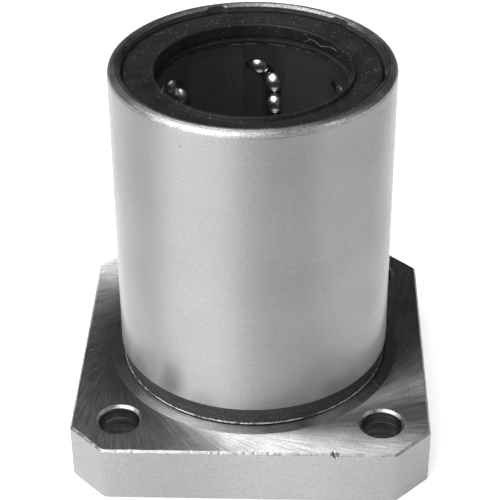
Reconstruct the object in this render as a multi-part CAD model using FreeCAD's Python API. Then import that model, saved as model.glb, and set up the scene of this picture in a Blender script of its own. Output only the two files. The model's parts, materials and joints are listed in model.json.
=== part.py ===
"""Square-flanged linear ball bearing for a 30 mm shaft, in millimetres.

The flange's outer face lies on z = 0 with its centre at the origin, and the barrel rises along +Z.
Six ball circuits run between the shaft and the sleeve. Each circuit is a racetrack in a plane that is
parallel to the axis: a load row that carries the shaft, a return row behind the cage, and two half turns.
"""

import FreeCAD, Part
import math
import os

V = FreeCAD.Vector
AXIS = V(0, 0, 1)
ORIGIN = V(0, 0, 0)

# Driving dimensions: sleeve and flange
SHAFT_R = 15.0
BARREL_R = 22.5
LENGTH = 64.0
FLANGE_SIDE = 58.0
FLANGE_ACROSS_CORNERS = 74.0
FLANGE_T = 10.0
FLANGE_EDGE_CHAMFER = 0.6
FLANGE_EDGE_ROUND = 0.9
RIM_CHAMFER = 0.75
RIM_INNER_CHAMFER = 0.2

# Grinding relief where the barrel meets the flange
NECK_R = 22.0
NECK_H = 3.4
FOOT_GROOVE_R = 22.6
FOOT_GROOVE_DEPTH = 0.3
RELIEF_RING_R = 24.4
RELIEF_RING_DEPTH = 0.1

# Screw holes
SCREWS = 4
BOLT_CIRCLE_D = 60.0
SCREW_HOLE_R = 3.3
SCREW_HOLE_CHAMFER = 0.45
COUNTERBORE_R = 5.5
COUNTERBORE_DEPTH = 6.1
COUNTERBORE_CHAMFER = 0.3

# Ball circuits
CIRCUITS = 6
FIRST_ROW_ANGLE = 78.6
RETURN_ANGLE = 30.0
BALL_R = 3.969 / 2
SHAFT_PLAY = 0.035
RACEWAY_PLAY = 0.04
RETURN_ROW_R = 19.05
ROW_BALLS = 9
TURN_BALLS = 4
BALL_PLAY = 0.04
JUNCTION_PLAY = 0.09
TRACK_PLAY = 0.1155
RETURN_GROOVE_R = 2.15

# Cage, seals and retaining rings
SEAT_R = 20.45
TURN_RELIEF_R = 20.75
LAND_END_SLOPE = 0.5
CAGE_OUTER_R = 18.7
CAGE_INNER_R = 15.4
CAGE_COLLAR_R = 20.2
CAGE_COLLAR_T = 1.4
CAGE_EDGE = 0.2
SEAL_RECESS = 1.2
SEAL_INNER_H = 3.4
SEAL_R = 20.4
SEAL_EDGE = 0.3
SEAL_BORE_R = 15.25
SEAL_BEAD_R = 15.95
SEAL_BEAD_H = 0.14
SEAL_HUB_R = 17.5
LIP_H = 0.6
LIP_GROOVE_H = 0.7
LIP_GROOVE_R = 15.5
LIP_EDGE = 0.25
RING_R = 21.0
RING_INNER_R = 18.6
RING_T = 0.9
RING_GROOVE_R = 21.1
RING_GROOVE_H = 1.0
RING_GAP_ANGLE = 32.0

# Values worked out from the driving dimensions
LOAD_ROW_R = SHAFT_R + SHAFT_PLAY + BALL_R
LAND_R = LOAD_ROW_R + BALL_R + RACEWAY_PLAY
TRACK_R = BALL_R + TRACK_PLAY
MID_Z = LENGTH / 2
CAGE_TOP = LENGTH - SEAL_RECESS - SEAL_INNER_H
ROW_PITCH = 2 * BALL_R + BALL_PLAY
LOAD_POINT = V(LOAD_ROW_R, 0, 0)
RETURN_POINT = V(
    RETURN_ROW_R * math.cos(math.radians(RETURN_ANGLE)),
    RETURN_ROW_R * math.sin(math.radians(RETURN_ANGLE)),
    0,
)
TURN_R = (RETURN_POINT - LOAD_POINT).Length / 2
TURN_PITCH = 2 * math.asin((2 * BALL_R + BALL_PLAY) / (2 * TURN_R))
FIRST_TURN_ANGLE = math.pi / 2 - (TURN_BALLS - 1) / 2 * TURN_PITCH
FIRST_TURN_OFFSET = TURN_R * (1 - math.cos(FIRST_TURN_ANGLE))
ROW_TO_TURN = math.sqrt((2 * BALL_R + JUNCTION_PLAY) ** 2 - FIRST_TURN_OFFSET ** 2)
ROW_HALF = (ROW_BALLS - 1) / 2 * ROW_PITCH
HALF_STRAIGHT = ROW_HALF + ROW_TO_TURN - TURN_R * math.sin(FIRST_TURN_ANGLE)


def revolve(points, axis_point=ORIGIN, axis=AXIS, angle=360):
    """Turn a closed outline of straight lines into a solid of revolution."""
    outline = Part.makePolygon(points + points[:1])
    return Part.Face(outline).revolve(axis_point, axis, angle)


def turned(profile):
    """Revolve (radius, height) points about the bearing's axis."""
    return revolve([V(radius, 0, height) for radius, height in profile])


def mirrored(shape):
    """Return the same shape for the other end of the bearing."""
    return shape.mirror(V(0, 0, MID_Z), AXIS)


def track_placement(circuit):
    """Place a racetrack drawn in its own plane: X across the rows, Y along the axis, Z outwards."""
    across = (RETURN_POINT - LOAD_POINT).normalize()
    outwards = across.cross(AXIS)
    centre = (LOAD_POINT + RETURN_POINT) * 0.5 + AXIS * MID_Z
    in_plane = FreeCAD.Placement(centre, FreeCAD.Rotation(across, AXIS, outwards, "XYZ"))
    turn = FreeCAD.Rotation(AXIS, FIRST_ROW_ANGLE + circuit * 360 / CIRCUITS)
    return FreeCAD.Placement(ORIGIN, turn).multiply(in_plane)


def flange_plate():
    """Square plate with its corners cut flat, its upright edges rounded and its rims chamfered."""
    half = FLANGE_SIDE / 2
    square = Part.makeBox(FLANGE_SIDE, FLANGE_SIDE, FLANGE_T, V(-half, -half, 0))
    across = FLANGE_ACROSS_CORNERS / 2
    diamond = Part.makeBox(2 * across, 2 * across, FLANGE_T, V(-across, -across, 0))
    diamond.rotate(ORIGIN, AXIS, 45)
    plate = square.common(diamond)
    upright = [edge for edge in plate.Edges if edge.BoundBox.ZLength > FLANGE_T / 2]
    plate = plate.makeFillet(FLANGE_EDGE_ROUND, upright)
    rims = [edge for edge in plate.Edges if edge.BoundBox.ZLength < FLANGE_T / 2]
    return plate.makeChamfer(FLANGE_EDGE_CHAMFER, rims)


def barrel():
    """Outside of the barrel with its chamfered rim and the undercut neck above the flange."""
    foot = FLANGE_T / 2
    neck_top = FLANGE_T + NECK_H
    shoulder = BARREL_R - NECK_R
    return turned([
        (0, foot),
        (NECK_R, foot),
        (NECK_R, neck_top - shoulder / 2),
        (BARREL_R, neck_top),
        (BARREL_R, LENGTH - RIM_CHAMFER),
        (BARREL_R - RIM_CHAMFER, LENGTH),
        (0, LENGTH),
    ])


def flange_relief():
    """Turned ring and narrow groove in the flange face around the foot of the neck."""
    floor = FLANGE_T - FOOT_GROOVE_DEPTH
    ring = FLANGE_T - RELIEF_RING_DEPTH
    above = FLANGE_T + NECK_H / 2
    return turned([
        (NECK_R, above),
        (NECK_R, floor),
        (FOOT_GROOVE_R - FOOT_GROOVE_DEPTH, floor),
        (FOOT_GROOVE_R, ring),
        (RELIEF_RING_R, ring),
        (RELIEF_RING_R, above),
    ])


def sleeve_bore():
    """Inside of the sleeve: raceway land, room for the turning balls, seal seats and ring grooves."""
    land_top = MID_Z + HALF_STRAIGHT
    relief_top = CAGE_TOP - CAGE_COLLAR_T
    upper = [
        (LAND_R, land_top),
        (TURN_RELIEF_R, land_top + LAND_END_SLOPE),
        (TURN_RELIEF_R, relief_top + SEAT_R - TURN_RELIEF_R),
        (SEAT_R, relief_top),
        (SEAT_R, CAGE_TOP),
        (RING_GROOVE_R, CAGE_TOP),
        (RING_GROOVE_R, CAGE_TOP + RING_GROOVE_H),
        (SEAT_R, CAGE_TOP + RING_GROOVE_H),
        (SEAT_R, LENGTH - RIM_INNER_CHAMFER),
        (SEAT_R + 2 * RIM_INNER_CHAMFER, LENGTH + RIM_INNER_CHAMFER),
        (0, LENGTH + RIM_INNER_CHAMFER),
    ]
    lower = [(radius, LENGTH - height) for radius, height in reversed(upper)]
    return turned(lower + upper)


def return_groove(circuit):
    """Round groove along the whole sleeve, behind one return row."""
    groove = Part.makeCylinder(RETURN_GROOVE_R, LENGTH, RETURN_POINT, AXIS)
    groove.rotate(ORIGIN, AXIS, FIRST_ROW_ANGLE + circuit * 360 / CIRCUITS)
    return groove


def screw_hole(corner):
    """Stepped screw hole in one corner: chamfered through hole and a counterbore from the outer face."""
    hole = turned([
        (0, 0),
        (COUNTERBORE_R + COUNTERBORE_CHAMFER, 0),
        (COUNTERBORE_R, COUNTERBORE_CHAMFER),
        (COUNTERBORE_R, COUNTERBORE_DEPTH),
        (SCREW_HOLE_R, COUNTERBORE_DEPTH),
        (SCREW_HOLE_R, FLANGE_T - SCREW_HOLE_CHAMFER),
        (SCREW_HOLE_R + SCREW_HOLE_CHAMFER, FLANGE_T),
        (0, FLANGE_T),
    ])
    hole.translate(V(BOLT_CIRCLE_D / 2, 0, 0))
    hole.rotate(ORIGIN, AXIS, (corner + 0.5) * 360 / SCREWS)
    return hole


def flanged_sleeve():
    """Barrel and flange in one piece, bored, grooved and drilled."""
    sleeve = flange_plate().cut(flange_relief()).fuse(barrel())
    sleeve = sleeve.cut(sleeve_bore())
    grooves = [return_groove(circuit) for circuit in range(CIRCUITS)]
    holes = [screw_hole(corner) for corner in range(SCREWS)]
    return sleeve.cut(grooves + holes).removeSplitter()


def channel_profile(depth):
    """Cross-section of a ball channel: a half-round floor with parallel walls, open outwards."""
    left = V(TURN_R - TRACK_R, 0, 0)
    right = V(TURN_R + TRACK_R, 0, 0)
    up = V(0, 0, depth)
    floor = Part.Arc(left, V(TURN_R, 0, -TRACK_R), right).toShape()
    walls = Part.makePolygon([right, right + up, left + up, left])
    return Part.Face(Part.Wire([floor] + walls.Edges))


def ball_channel(circuit):
    """Endless channel of one circuit: two straight runs and two half turns."""
    depth = CAGE_COLLAR_R - CAGE_INNER_R
    upper_centre = V(0, HALF_STRAIGHT, 0)
    section = channel_profile(depth)
    run = section.translated(-upper_centre).extrude(upper_centre * 2)
    upper_turn = section.translated(upper_centre).revolve(upper_centre, AXIS, 180)
    half = run.fuse(upper_turn)
    other = half.rotated(ORIGIN, AXIS, 180)
    channel = half.fuse(other).removeSplitter()
    channel.Placement = track_placement(circuit)
    return channel


def ball_cage():
    """Moulded cage tube with a centring collar at each end and six ball channels."""
    collar = CAGE_TOP - CAGE_COLLAR_T
    half = [
        (CAGE_OUTER_R, collar - (CAGE_COLLAR_R - CAGE_OUTER_R) / 4),
        (CAGE_COLLAR_R, collar),
        (CAGE_COLLAR_R, CAGE_TOP - CAGE_EDGE),
        (CAGE_COLLAR_R - CAGE_EDGE, CAGE_TOP),
        (CAGE_INNER_R + CAGE_EDGE, CAGE_TOP),
        (CAGE_INNER_R, CAGE_TOP - CAGE_EDGE),
    ]
    other = [(radius, LENGTH - height) for radius, height in reversed(half)]
    tube = turned(half + other)
    return tube.cut([ball_channel(circuit) for circuit in range(CIRCUITS)])


def upper_seal():
    """Rubber seal: recessed face, bead round the bore, inner hub and a wiping lip at the shaft."""
    face = LENGTH - SEAL_RECESS
    back = CAGE_TOP + RING_T
    lip_top = CAGE_TOP + LIP_EDGE + LIP_H
    groove_top = lip_top + LIP_GROOVE_H
    bead_edge = (SEAL_BEAD_R - SEAL_BORE_R) / 4
    return turned([
        (SEAL_HUB_R, CAGE_TOP),
        (SEAL_HUB_R, back),
        (SEAL_R, back),
        (SEAL_R, face - SEAL_EDGE),
        (SEAL_R - SEAL_EDGE, face),
        (SEAL_BEAD_R + bead_edge, face),
        (SEAL_BEAD_R, face + SEAL_BEAD_H),
        (SEAL_BORE_R + bead_edge, face + SEAL_BEAD_H),
        (SEAL_BORE_R, face),
        (SEAL_BORE_R, groove_top),
        (LIP_GROOVE_R, groove_top - LIP_EDGE),
        (LIP_GROOVE_R, lip_top + LIP_EDGE / 2),
        (SHAFT_R, lip_top),
        (SHAFT_R, CAGE_TOP + LIP_EDGE),
        (SHAFT_R + LIP_EDGE, CAGE_TOP),
    ])


def upper_retaining_ring():
    """Flat spring ring with a gap, seated in its groove between the cage and the seal."""
    half_gap = RING_GAP_ANGLE / 2
    section = [
        V(RING_INNER_R, 0, CAGE_TOP),
        V(RING_R, 0, CAGE_TOP),
        V(RING_R, 0, CAGE_TOP + RING_T),
        V(RING_INNER_R, 0, CAGE_TOP + RING_T),
    ]
    ring = revolve(section, angle=360 - RING_GAP_ANGLE)
    ring.rotate(ORIGIN, AXIS, 90 + half_gap)
    return ring


def balls(circuit, centres):
    """Separate balls of one group at points in their circuit's own plane."""
    place = track_placement(circuit)
    return Part.makeCompound([Part.makeSphere(BALL_R, place.multVec(point)) for point in centres])


def row_centres(side):
    """Ball centres of a straight row, on the load side (-1) or the return side (+1)."""
    return [V(side * TURN_R, index * ROW_PITCH - ROW_HALF, 0) for index in range(ROW_BALLS)]


def turn_centres(end):
    """Ball centres of a half turn at the upper (+1) or lower (-1) end of the circuit."""
    angles = [FIRST_TURN_ANGLE + index * TURN_PITCH for index in range(TURN_BALLS)]
    return [
        V(-TURN_R * math.cos(angle), end * (HALF_STRAIGHT + TURN_R * math.sin(angle)), 0)
        for angle in angles
    ]


def all_parts():
    """Name every piece of the bearing and its shape."""
    parts = {
        "flanged_sleeve": flanged_sleeve(),
        "ball_cage": ball_cage(),
        "upper_seal": upper_seal(),
        "lower_seal": mirrored(upper_seal()),
        "upper_retaining_ring": upper_retaining_ring(),
        "lower_retaining_ring": mirrored(upper_retaining_ring()),
    }
    for circuit in range(CIRCUITS):
        number = circuit + 1
        parts[f"load_row_{number}"] = balls(circuit, row_centres(-1))
        parts[f"return_row_{number}"] = balls(circuit, row_centres(1))
        parts[f"upper_turn_{number}"] = balls(circuit, turn_centres(1))
        parts[f"lower_turn_{number}"] = balls(circuit, turn_centres(-1))
    return parts


def main():
    """Write one STEP file per piece."""
    os.makedirs("parts", exist_ok=True)
    for name, shape in all_parts().items():
        shape.exportStep(f"parts/{name}.step")


main()
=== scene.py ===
"""Looks of a square-flanged linear ball bearing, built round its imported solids.

Lengths in the classes are millimetres, and a mesh is scaled to metres when it is written. The bearing's
axis is Z, the flange's outer face lies on z = 0, and the camera stands on the -Y side.
"""

import json
import logging
import math
from collections.abc import Callable
from dataclasses import dataclass, replace
from enum import Enum
from functools import cached_property, lru_cache

import bmesh
import bpy
import numpy as np
from mathutils import Matrix, Vector
from numpy.typing import NDArray


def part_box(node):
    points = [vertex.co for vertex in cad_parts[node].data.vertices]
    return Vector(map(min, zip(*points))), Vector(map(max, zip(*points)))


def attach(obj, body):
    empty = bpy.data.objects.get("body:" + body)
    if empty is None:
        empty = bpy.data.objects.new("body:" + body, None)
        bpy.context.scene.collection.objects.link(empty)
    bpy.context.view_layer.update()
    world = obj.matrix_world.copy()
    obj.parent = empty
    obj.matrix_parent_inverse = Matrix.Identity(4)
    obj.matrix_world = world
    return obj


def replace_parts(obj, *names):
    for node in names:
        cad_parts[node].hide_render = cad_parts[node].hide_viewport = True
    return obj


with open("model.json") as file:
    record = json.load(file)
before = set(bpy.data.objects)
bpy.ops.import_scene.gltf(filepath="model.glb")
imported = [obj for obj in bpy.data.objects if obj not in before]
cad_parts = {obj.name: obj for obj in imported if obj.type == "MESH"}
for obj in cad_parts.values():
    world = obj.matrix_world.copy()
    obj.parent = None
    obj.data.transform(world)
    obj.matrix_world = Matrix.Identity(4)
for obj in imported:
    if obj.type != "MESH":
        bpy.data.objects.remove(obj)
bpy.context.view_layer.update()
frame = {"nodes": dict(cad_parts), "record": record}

LOG = logging.getLogger("bearing")
MM = 0.001  # one millimetre in metres
WELD = 1e-6  # distance in metres within which points are welded
SLIVER = 1e-7  # length in metres below which an edge is dissolved
CIRCUITS = 6  # endless trains of balls round the bore
BALLS = {"load_row": 9, "return_row": 9, "upper_turn": 4, "lower_turn": 4}  # balls in each group of a circuit
SEED = 7  # seed of the random draws

Array = NDArray[np.float64]
Colour = tuple[float, float, float, float]
Pair = tuple[float, float]
Point = tuple[float, float, float]
Curve = tuple[Pair, ...]
Piece = bpy.types.Object
Material = bpy.types.Material
Socket = bpy.types.NodeSocket
Input = float | tuple[float, ...] | Socket
Patterns = tuple[Input, Input, Input]


def grey(level: float) -> Colour:
    """Return an even grey of one linear level."""
    return (level, level, level, 1.0)


def mount(name: str) -> dict:
    """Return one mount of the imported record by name."""
    return next(row for row in frame["record"]["mounts"] if row["name"] == name)


def middle(node: str) -> Array:
    """Return the middle of a CAD node's box, in millimetres."""
    low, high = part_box(node)
    return np.array((low + high) / 2) / MM


# Surfaces


@dataclass
class Patch:
    """A grid of points that makes quads: rows run along a profile, columns along a path."""

    points: Array  # array of shape (rows, columns, 3), in millimetres
    closed: bool = True  # whether the last column joins the first

    def faces(self, first: int) -> NDArray[np.int64]:
        """Number the quads of the grid.

        Args:
            first: Index of the patch's first point in its mesh.

        Returns:
            Array of shape (quads, 4) with point indices.
        """
        rows, columns = self.points.shape[:2]
        index = first + np.arange(rows * columns).reshape(rows, columns)
        if self.closed:
            index = np.hstack([index, index[:, :1]])
        corners = [index[:-1, :-1], index[:-1, 1:], index[1:, 1:], index[1:, :-1]]
        return np.stack(corners, axis=-1).reshape(-1, 4)


@dataclass
class Seam:
    """A strip of faces that joins a closed loop of points to a finer loop beside it."""

    coarse: Array  # array of shape (n, 3)
    fine: Array  # array of shape (k n, 3), whose every k-th point lies beside a coarse point

    @property
    def points(self) -> Array:
        """Return both loops, the coarse one first."""
        return np.vstack([self.coarse, self.fine])

    def faces(self, first: int) -> NDArray[np.int64]:
        """Number the faces: each spans one coarse step and the k fine steps beside it.

        Args:
            first: Index of the seam's first point in its mesh.

        Returns:
            Array of shape (n, k + 3) with point indices.
        """
        count, ratio = len(self.coarse), len(self.fine) // len(self.coarse)
        near = np.arange(count)[:, None]
        far = (near * ratio + np.arange(ratio, -1, -1)) % len(self.fine)
        return first + np.hstack([near, (near + 1) % count, count + far])


def circle(columns: int) -> Array:
    """Return angles evenly spaced round a full turn."""
    return np.linspace(0, 2 * np.pi, columns, endpoint=False)


def smooth_noise(random: np.random.Generator, count: int, width: float) -> Array:
    """Return noise round a closed loop: random numbers blurred by exp(-(x / width)^2), with spread 1.

    Args:
        random: Seeded source of random numbers.
        count: Points round the loop.
        width: Width of the blur, in points.

    Returns:
        Array with one number for each point.
    """
    reach = int(4 * width) + 1  # distance in points at which the blur has faded away
    blur = np.exp(-((np.arange(-reach, reach + 1) / width) ** 2))
    noise = np.convolve(np.pad(random.standard_normal(count), reach, mode="wrap"), blur, mode="valid")
    return noise / noise.std()


def eased(corners: Array, steps: int = 4) -> Array:
    """Soften the corners of an open outline with short parabolas.

    A corner p with ease e becomes (1-u)^2 (p + a e) + 2u(1-u) p + u^2 (p + b e), where a and b point
    along the two sides, with one more point on each side to hold the flats flat. Ease 0 keeps it sharp.

    Args:
        corners: Array of shape (n, 3): two coordinates and the ease of each corner.
        steps: Points on each parabola.

    Returns:
        Array of shape (m, 2) with the softened outline.
    """
    place, ease = corners[1:-1, :2], corners[1:-1, 2:]
    back = corners[:-2, :2] - place
    ahead = corners[2:, :2] - place
    back /= np.linalg.norm(back, axis=1, keepdims=True)
    ahead /= np.linalg.norm(ahead, axis=1, keepdims=True)
    start, end = place + back * ease, place + ahead * ease
    share = np.linspace(0, 1, steps)[:, None, None]
    curve = (1 - share) ** 2 * start + 2 * share * (1 - share) * place + share**2 * end
    support = [(place + back * ease * 2)[None], curve, (place + ahead * ease * 2)[None]]
    line = np.concatenate(support).transpose(1, 0, 2).reshape(-1, 2)
    line = np.vstack([corners[:1, :2], line, corners[-1:, :2]])
    least_step = 1e-6
    apart = np.linalg.norm(np.diff(line, axis=0), axis=1) > least_step
    return line[np.r_[True, apart]]


def revolved(profile: Array, turn: Array) -> Patch:
    """Carry (radius, height) points round the axis: (r cos t, r sin t, z).

    Args:
        profile: Array of shape (rows, 2), or (rows, columns, 2) where the profile varies round the axis.
        turn: Angles of the columns.

    Returns:
        The turned patch.
    """
    full = profile if profile.ndim == 3 else np.repeat(profile[:, None], len(turn), axis=1)
    radius, height = full[..., 0], full[..., 1]
    return Patch(np.stack([radius * np.cos(turn), radius * np.sin(turn), height], axis=-1))


def tube(path: Array, radius: float, sides: int = 6) -> Patch:
    """Carry a circle along a path, closed to a point at both ends.

    Args:
        path: Array of shape (rows, 3) along the middle of the tube.
        radius: Radius of the tube.
        sides: Corners of the circle.

    Returns:
        The tube's patch.
    """
    along = np.gradient(path, axis=0)
    along /= np.linalg.norm(along, axis=1, keepdims=True)
    aside = (0.31, 0.22, 0.93)  # a direction that no path follows
    side = np.cross(along, aside)
    side /= np.linalg.norm(side, axis=1, keepdims=True)
    over = np.cross(along, side)
    turn = circle(sides)[None, :, None]
    width = radius * np.ones((len(path), 1, 1))
    width[[0, -1]] = 0
    return Patch(path[:, None] + width * (np.cos(turn) * side[:, None] + np.sin(turn) * over[:, None]))


def write_mesh(name: str, patches: list[Patch | Seam], sharp: float = 40.0) -> Piece:
    """Join patches into one closed, outward, smooth-shaded mesh.

    Args:
        name: Name of the new object.
        patches: Grids whose shared borders have equal points.
        sharp: Angle in degrees past which an edge stays sharp.

    Returns:
        The new object, linked to the scene.
    """
    blocks = [patch.points.reshape(-1, 3) for patch in patches]
    firsts = np.cumsum([0] + [len(block) for block in blocks])
    faces = [face for patch, first in zip(patches, firsts) for face in patch.faces(first).tolist()]
    mesh = bpy.data.meshes.new(name)
    mesh.from_pydata((np.concatenate(blocks) * MM).tolist(), [], faces)
    return finished(name, mesh, sharp)


def finished(name: str, mesh: bpy.types.Mesh, sharp: float) -> Piece:
    """Weld a mesh, turn its faces outwards and shade it.

    Args:
        name: Name of the new object.
        mesh: Mesh to weld and shade.
        sharp: Angle in degrees past which an edge stays sharp.

    Returns:
        The new object, linked to the scene.
    """
    weld = bmesh.new()
    weld.from_mesh(mesh)
    bmesh.ops.remove_doubles(weld, verts=weld.verts, dist=WELD)
    bmesh.ops.dissolve_degenerate(weld, edges=weld.edges, dist=SLIVER)
    bmesh.ops.recalc_face_normals(weld, faces=weld.faces)
    weld.to_mesh(mesh)
    weld.free()
    mesh.shade_smooth()
    mesh.set_sharp_from_angle(angle=math.radians(sharp))
    piece = bpy.data.objects.new(name, mesh)
    bpy.context.scene.collection.objects.link(piece)
    return piece


def merged_copy(node: str, name: str, sharp: float = 30.0) -> Piece:
    """Return a welded, smooth-shaded copy of a CAD node that replaces it."""
    piece = finished(name, frame["nodes"][node].data.copy(), sharp)
    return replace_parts(piece, node)


def mesh_points(mesh: bpy.types.Mesh) -> Array:
    """Read a mesh's points.

    Args:
        mesh: Mesh in metres.

    Returns:
        Array of shape (points, 3), in millimetres.
    """
    flat = np.empty(len(mesh.vertices) * 3)
    mesh.vertices.foreach_get("co", flat)
    return flat.reshape(-1, 3) / MM


# Finishes


class Graph:
    """Adds nodes to one shader tree, with sockets or plain values as their inputs."""

    def __init__(self, tree: bpy.types.NodeTree) -> None:
        """Keep the tree that the nodes go into."""
        self.tree = tree

    def add(self, kind: str, inputs: dict | None = None, **settings: object) -> bpy.types.Node:
        """Add one node.

        Args:
            kind: Node type without its ShaderNode prefix.
            inputs: Sockets to link or values to set, by input name or index.
            **settings: Properties of the node.

        Returns:
            The new node.
        """
        node = self.tree.nodes.new("ShaderNode" + kind)
        for key, value in settings.items():
            setattr(node, key, value)
        for key, value in (inputs or {}).items():
            if isinstance(value, Socket):
                self.tree.links.new(value, node.inputs[key])
            else:
                node.inputs[key].default_value = value
        return node

    @cached_property
    def place(self) -> Socket:
        """Return the object coordinates, in metres."""
        return self.add("TexCoord").outputs["Object"]

    @cached_property
    def flat(self) -> Socket:
        """Return the object coordinates with their height left out."""
        return self.vector("MULTIPLY", self.place, (1, 1, 0))

    @cached_property
    def radius(self) -> Socket:
        """Return the distance from the bearing's axis, in metres."""
        return self.measure("LENGTH", self.flat)

    @cached_property
    def height(self) -> Socket:
        """Return the height over the flange's outer face, in metres."""
        return self.add("SeparateXYZ", {0: self.place}).outputs["Z"]

    def math(self, operation: str, *values: Input) -> Socket:
        """Return the result of a Math node."""
        return self.add("Math", dict(enumerate(values)), operation=operation).outputs[0]

    def times(self, first: Input, second: Input) -> Socket:
        """Return the product of two values."""
        return self.math("MULTIPLY", first, second)

    def vector(self, operation: str, *values: Input) -> Socket:
        """Return the vector result of a Vector Math node."""
        return self.add("VectorMath", dict(enumerate(values)), operation=operation).outputs["Vector"]

    def measure(self, operation: str, *values: Input) -> Socket:
        """Return the number that a Vector Math node measures."""
        return self.add("VectorMath", dict(enumerate(values)), operation=operation).outputs["Value"]

    def joined(self, *parts: Input) -> Socket:
        """Return the vector with the given parts."""
        return self.add("CombineXYZ", dict(enumerate(parts))).outputs[0]

    def ramp(self, value: Input, low: Input, high: Input, start: Input = 0.0, end: float = 1.0) -> Socket:
        """Return a value that runs smoothly from start to end as the input runs from low to high."""
        inputs = {0: value, 1: low, 2: high, 3: start, 4: end}
        return self.add("MapRange", inputs, interpolation_type="SMOOTHSTEP").outputs[0]

    def swing(self, value: Input, start: float, end: float) -> Socket:
        """Return a value that runs smoothly from start to end as the input runs from 0 to 1."""
        return self.ramp(value, 0.0, 1.0, start, end)

    def near(self, distance: Input, inner: float, outer: float) -> Socket:
        """Return a mask that falls from 1 to 0 between two distances in millimetres."""
        return self.ramp(distance, inner * MM, outer * MM, 1.0, 0.0)

    def off_spot(self, spot: Point) -> Socket:
        """Return the distance from a spot that is given in millimetres."""
        return self.measure("DISTANCE", self.place, tuple(part * MM for part in spot))

    def blend(self, share: Input, first: Input, second: Input) -> Socket:
        """Return the mix of two colours."""
        return self.add("Mix", {0: share, 6: first, 7: second}, data_type="RGBA").outputs[2]

    def mixed(self, share: float, first: Input, second: Input) -> Socket:
        """Return the mix of two values, with the given share of the second."""
        return self.math("ADD", self.times(first, 1.0 - share), self.times(second, share))

    def faded(self, tone: Input, mask: Input, share: float) -> Socket:
        """Return a tone that loses a share of itself where the mask is 1."""
        return self.times(tone, self.math("MULTIPLY_ADD", mask, -share, 1.0))

    def noise(self, vector: Input, scale: Input, detail: Input = 2.0) -> Socket:
        """Return the value of a noise texture."""
        return self.add("TexNoise", {"Vector": vector, "Scale": scale, "Detail": detail}).outputs[0]

    def patchy(
        self, vector: Input, scale: Input = 1.0, low: float = 0.3, high: float = 0.7, detail: float = 2.0
    ) -> Socket:
        """Return noise whose range from low to high is stretched to the range from 0 to 1."""
        return self.ramp(self.noise(vector, scale, detail), low, high)

    def pattern(self, group: bpy.types.NodeTree, **values: float) -> dict[str, Socket]:
        """Place a pattern group.

        Args:
            group: Node group to place.
            **values: Inputs by name, with underscores for spaces.

        Returns:
            The group's outputs by name.
        """
        node = self.tree.nodes.new("ShaderNodeGroup")
        node.node_tree = group
        for key, value in values.items():
            node.inputs[key.replace("_", " ")].default_value = value
        return {output.name: output for output in node.outputs}

    def put_out(self, **values: Socket) -> bpy.types.NodeTree:
        """Link values to the outputs of a group.

        Args:
            **values: Sockets by the outputs' names.

        Returns:
            The finished group.
        """
        end = self.tree.nodes.new("NodeGroupOutput")
        for key, value in values.items():
            self.tree.links.new(value, end.inputs[key])
        return self.tree


def new_group(name: str, inputs: dict[str, float], outputs: list[str]) -> tuple[Graph, dict[str, Socket]]:
    """Start a shader node group.

    Args:
        name: Name of the group.
        inputs: Default value of each input, by name.
        outputs: Names of its value outputs.

    Returns:
        The group's graph, and its input sockets by name.
    """
    tree = bpy.data.node_groups.new(name, "ShaderNodeTree")
    for key, value in inputs.items():
        tree.interface.new_socket(key, in_out="INPUT", socket_type="NodeSocketFloat").default_value = value
    for key in outputs:
        tree.interface.new_socket(key, in_out="OUTPUT", socket_type="NodeSocketFloat")
    sockets = tree.nodes.new("NodeGroupInput").outputs
    return Graph(tree), {key: sockets[key] for key in inputs}


@lru_cache
def grain_group() -> bpy.types.NodeTree:
    """Build the metal grain: even speckle, and soft clouds over the whole face.

    Returns:
        Group with the outputs Grain and Cloud.
    """
    graph, given = new_group("metal_grain", {"Scale": 3000.0, "Cloud Scale": 90.0}, ["Grain", "Cloud"])
    grain, cloud = (graph.patchy(graph.place, scale, detail=3.0) for scale in given.values())
    return graph.put_out(Grain=grain, Cloud=cloud)


@lru_cache
def rings_group() -> bpy.types.NodeTree:
    """Build lathe marks: fine rings about the axis that fade in and out along their length.

    Returns:
        Group with the output Rings.
    """
    graph, given = new_group("lathe_rings", {"Pitch": 9000.0, "Run": 8.0}, ["Rings"])
    across = graph.times(graph.math("ADD", graph.radius, graph.height), given["Pitch"])
    around = graph.vector("MULTIPLY", graph.vector("NORMALIZE", graph.flat), given["Run"])
    spread = graph.add("SeparateXYZ", {0: around}).outputs
    lines = graph.joined(spread["X"], spread["Y"], across)
    return graph.put_out(Rings=graph.patchy(lines))


@lru_cache
def specks_group() -> bpy.types.NodeTree:
    """Build scattered specks: small round dots of many sizes, with bare space between them.

    Returns:
        Group with the output Specks.
    """
    graph, given = new_group("specks", {"Scale": 900.0, "Share": 0.2, "Size": 0.3}, ["Specks"])
    cells = graph.add("TexVoronoi", {"Vector": graph.place, "Scale": given["Scale"]}).outputs
    pick = graph.add("SeparateColor", {0: cells["Color"]}).outputs[0]
    over = graph.math("DIVIDE", graph.math("SUBTRACT", given["Share"], pick), given["Share"])
    size = graph.times(graph.math("MAXIMUM", over, 0.0), given["Size"])
    soft_edge = 0.08
    return graph.put_out(Specks=graph.ramp(graph.math("SUBTRACT", size, cells["Distance"]), 0.0, soft_edge))


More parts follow.
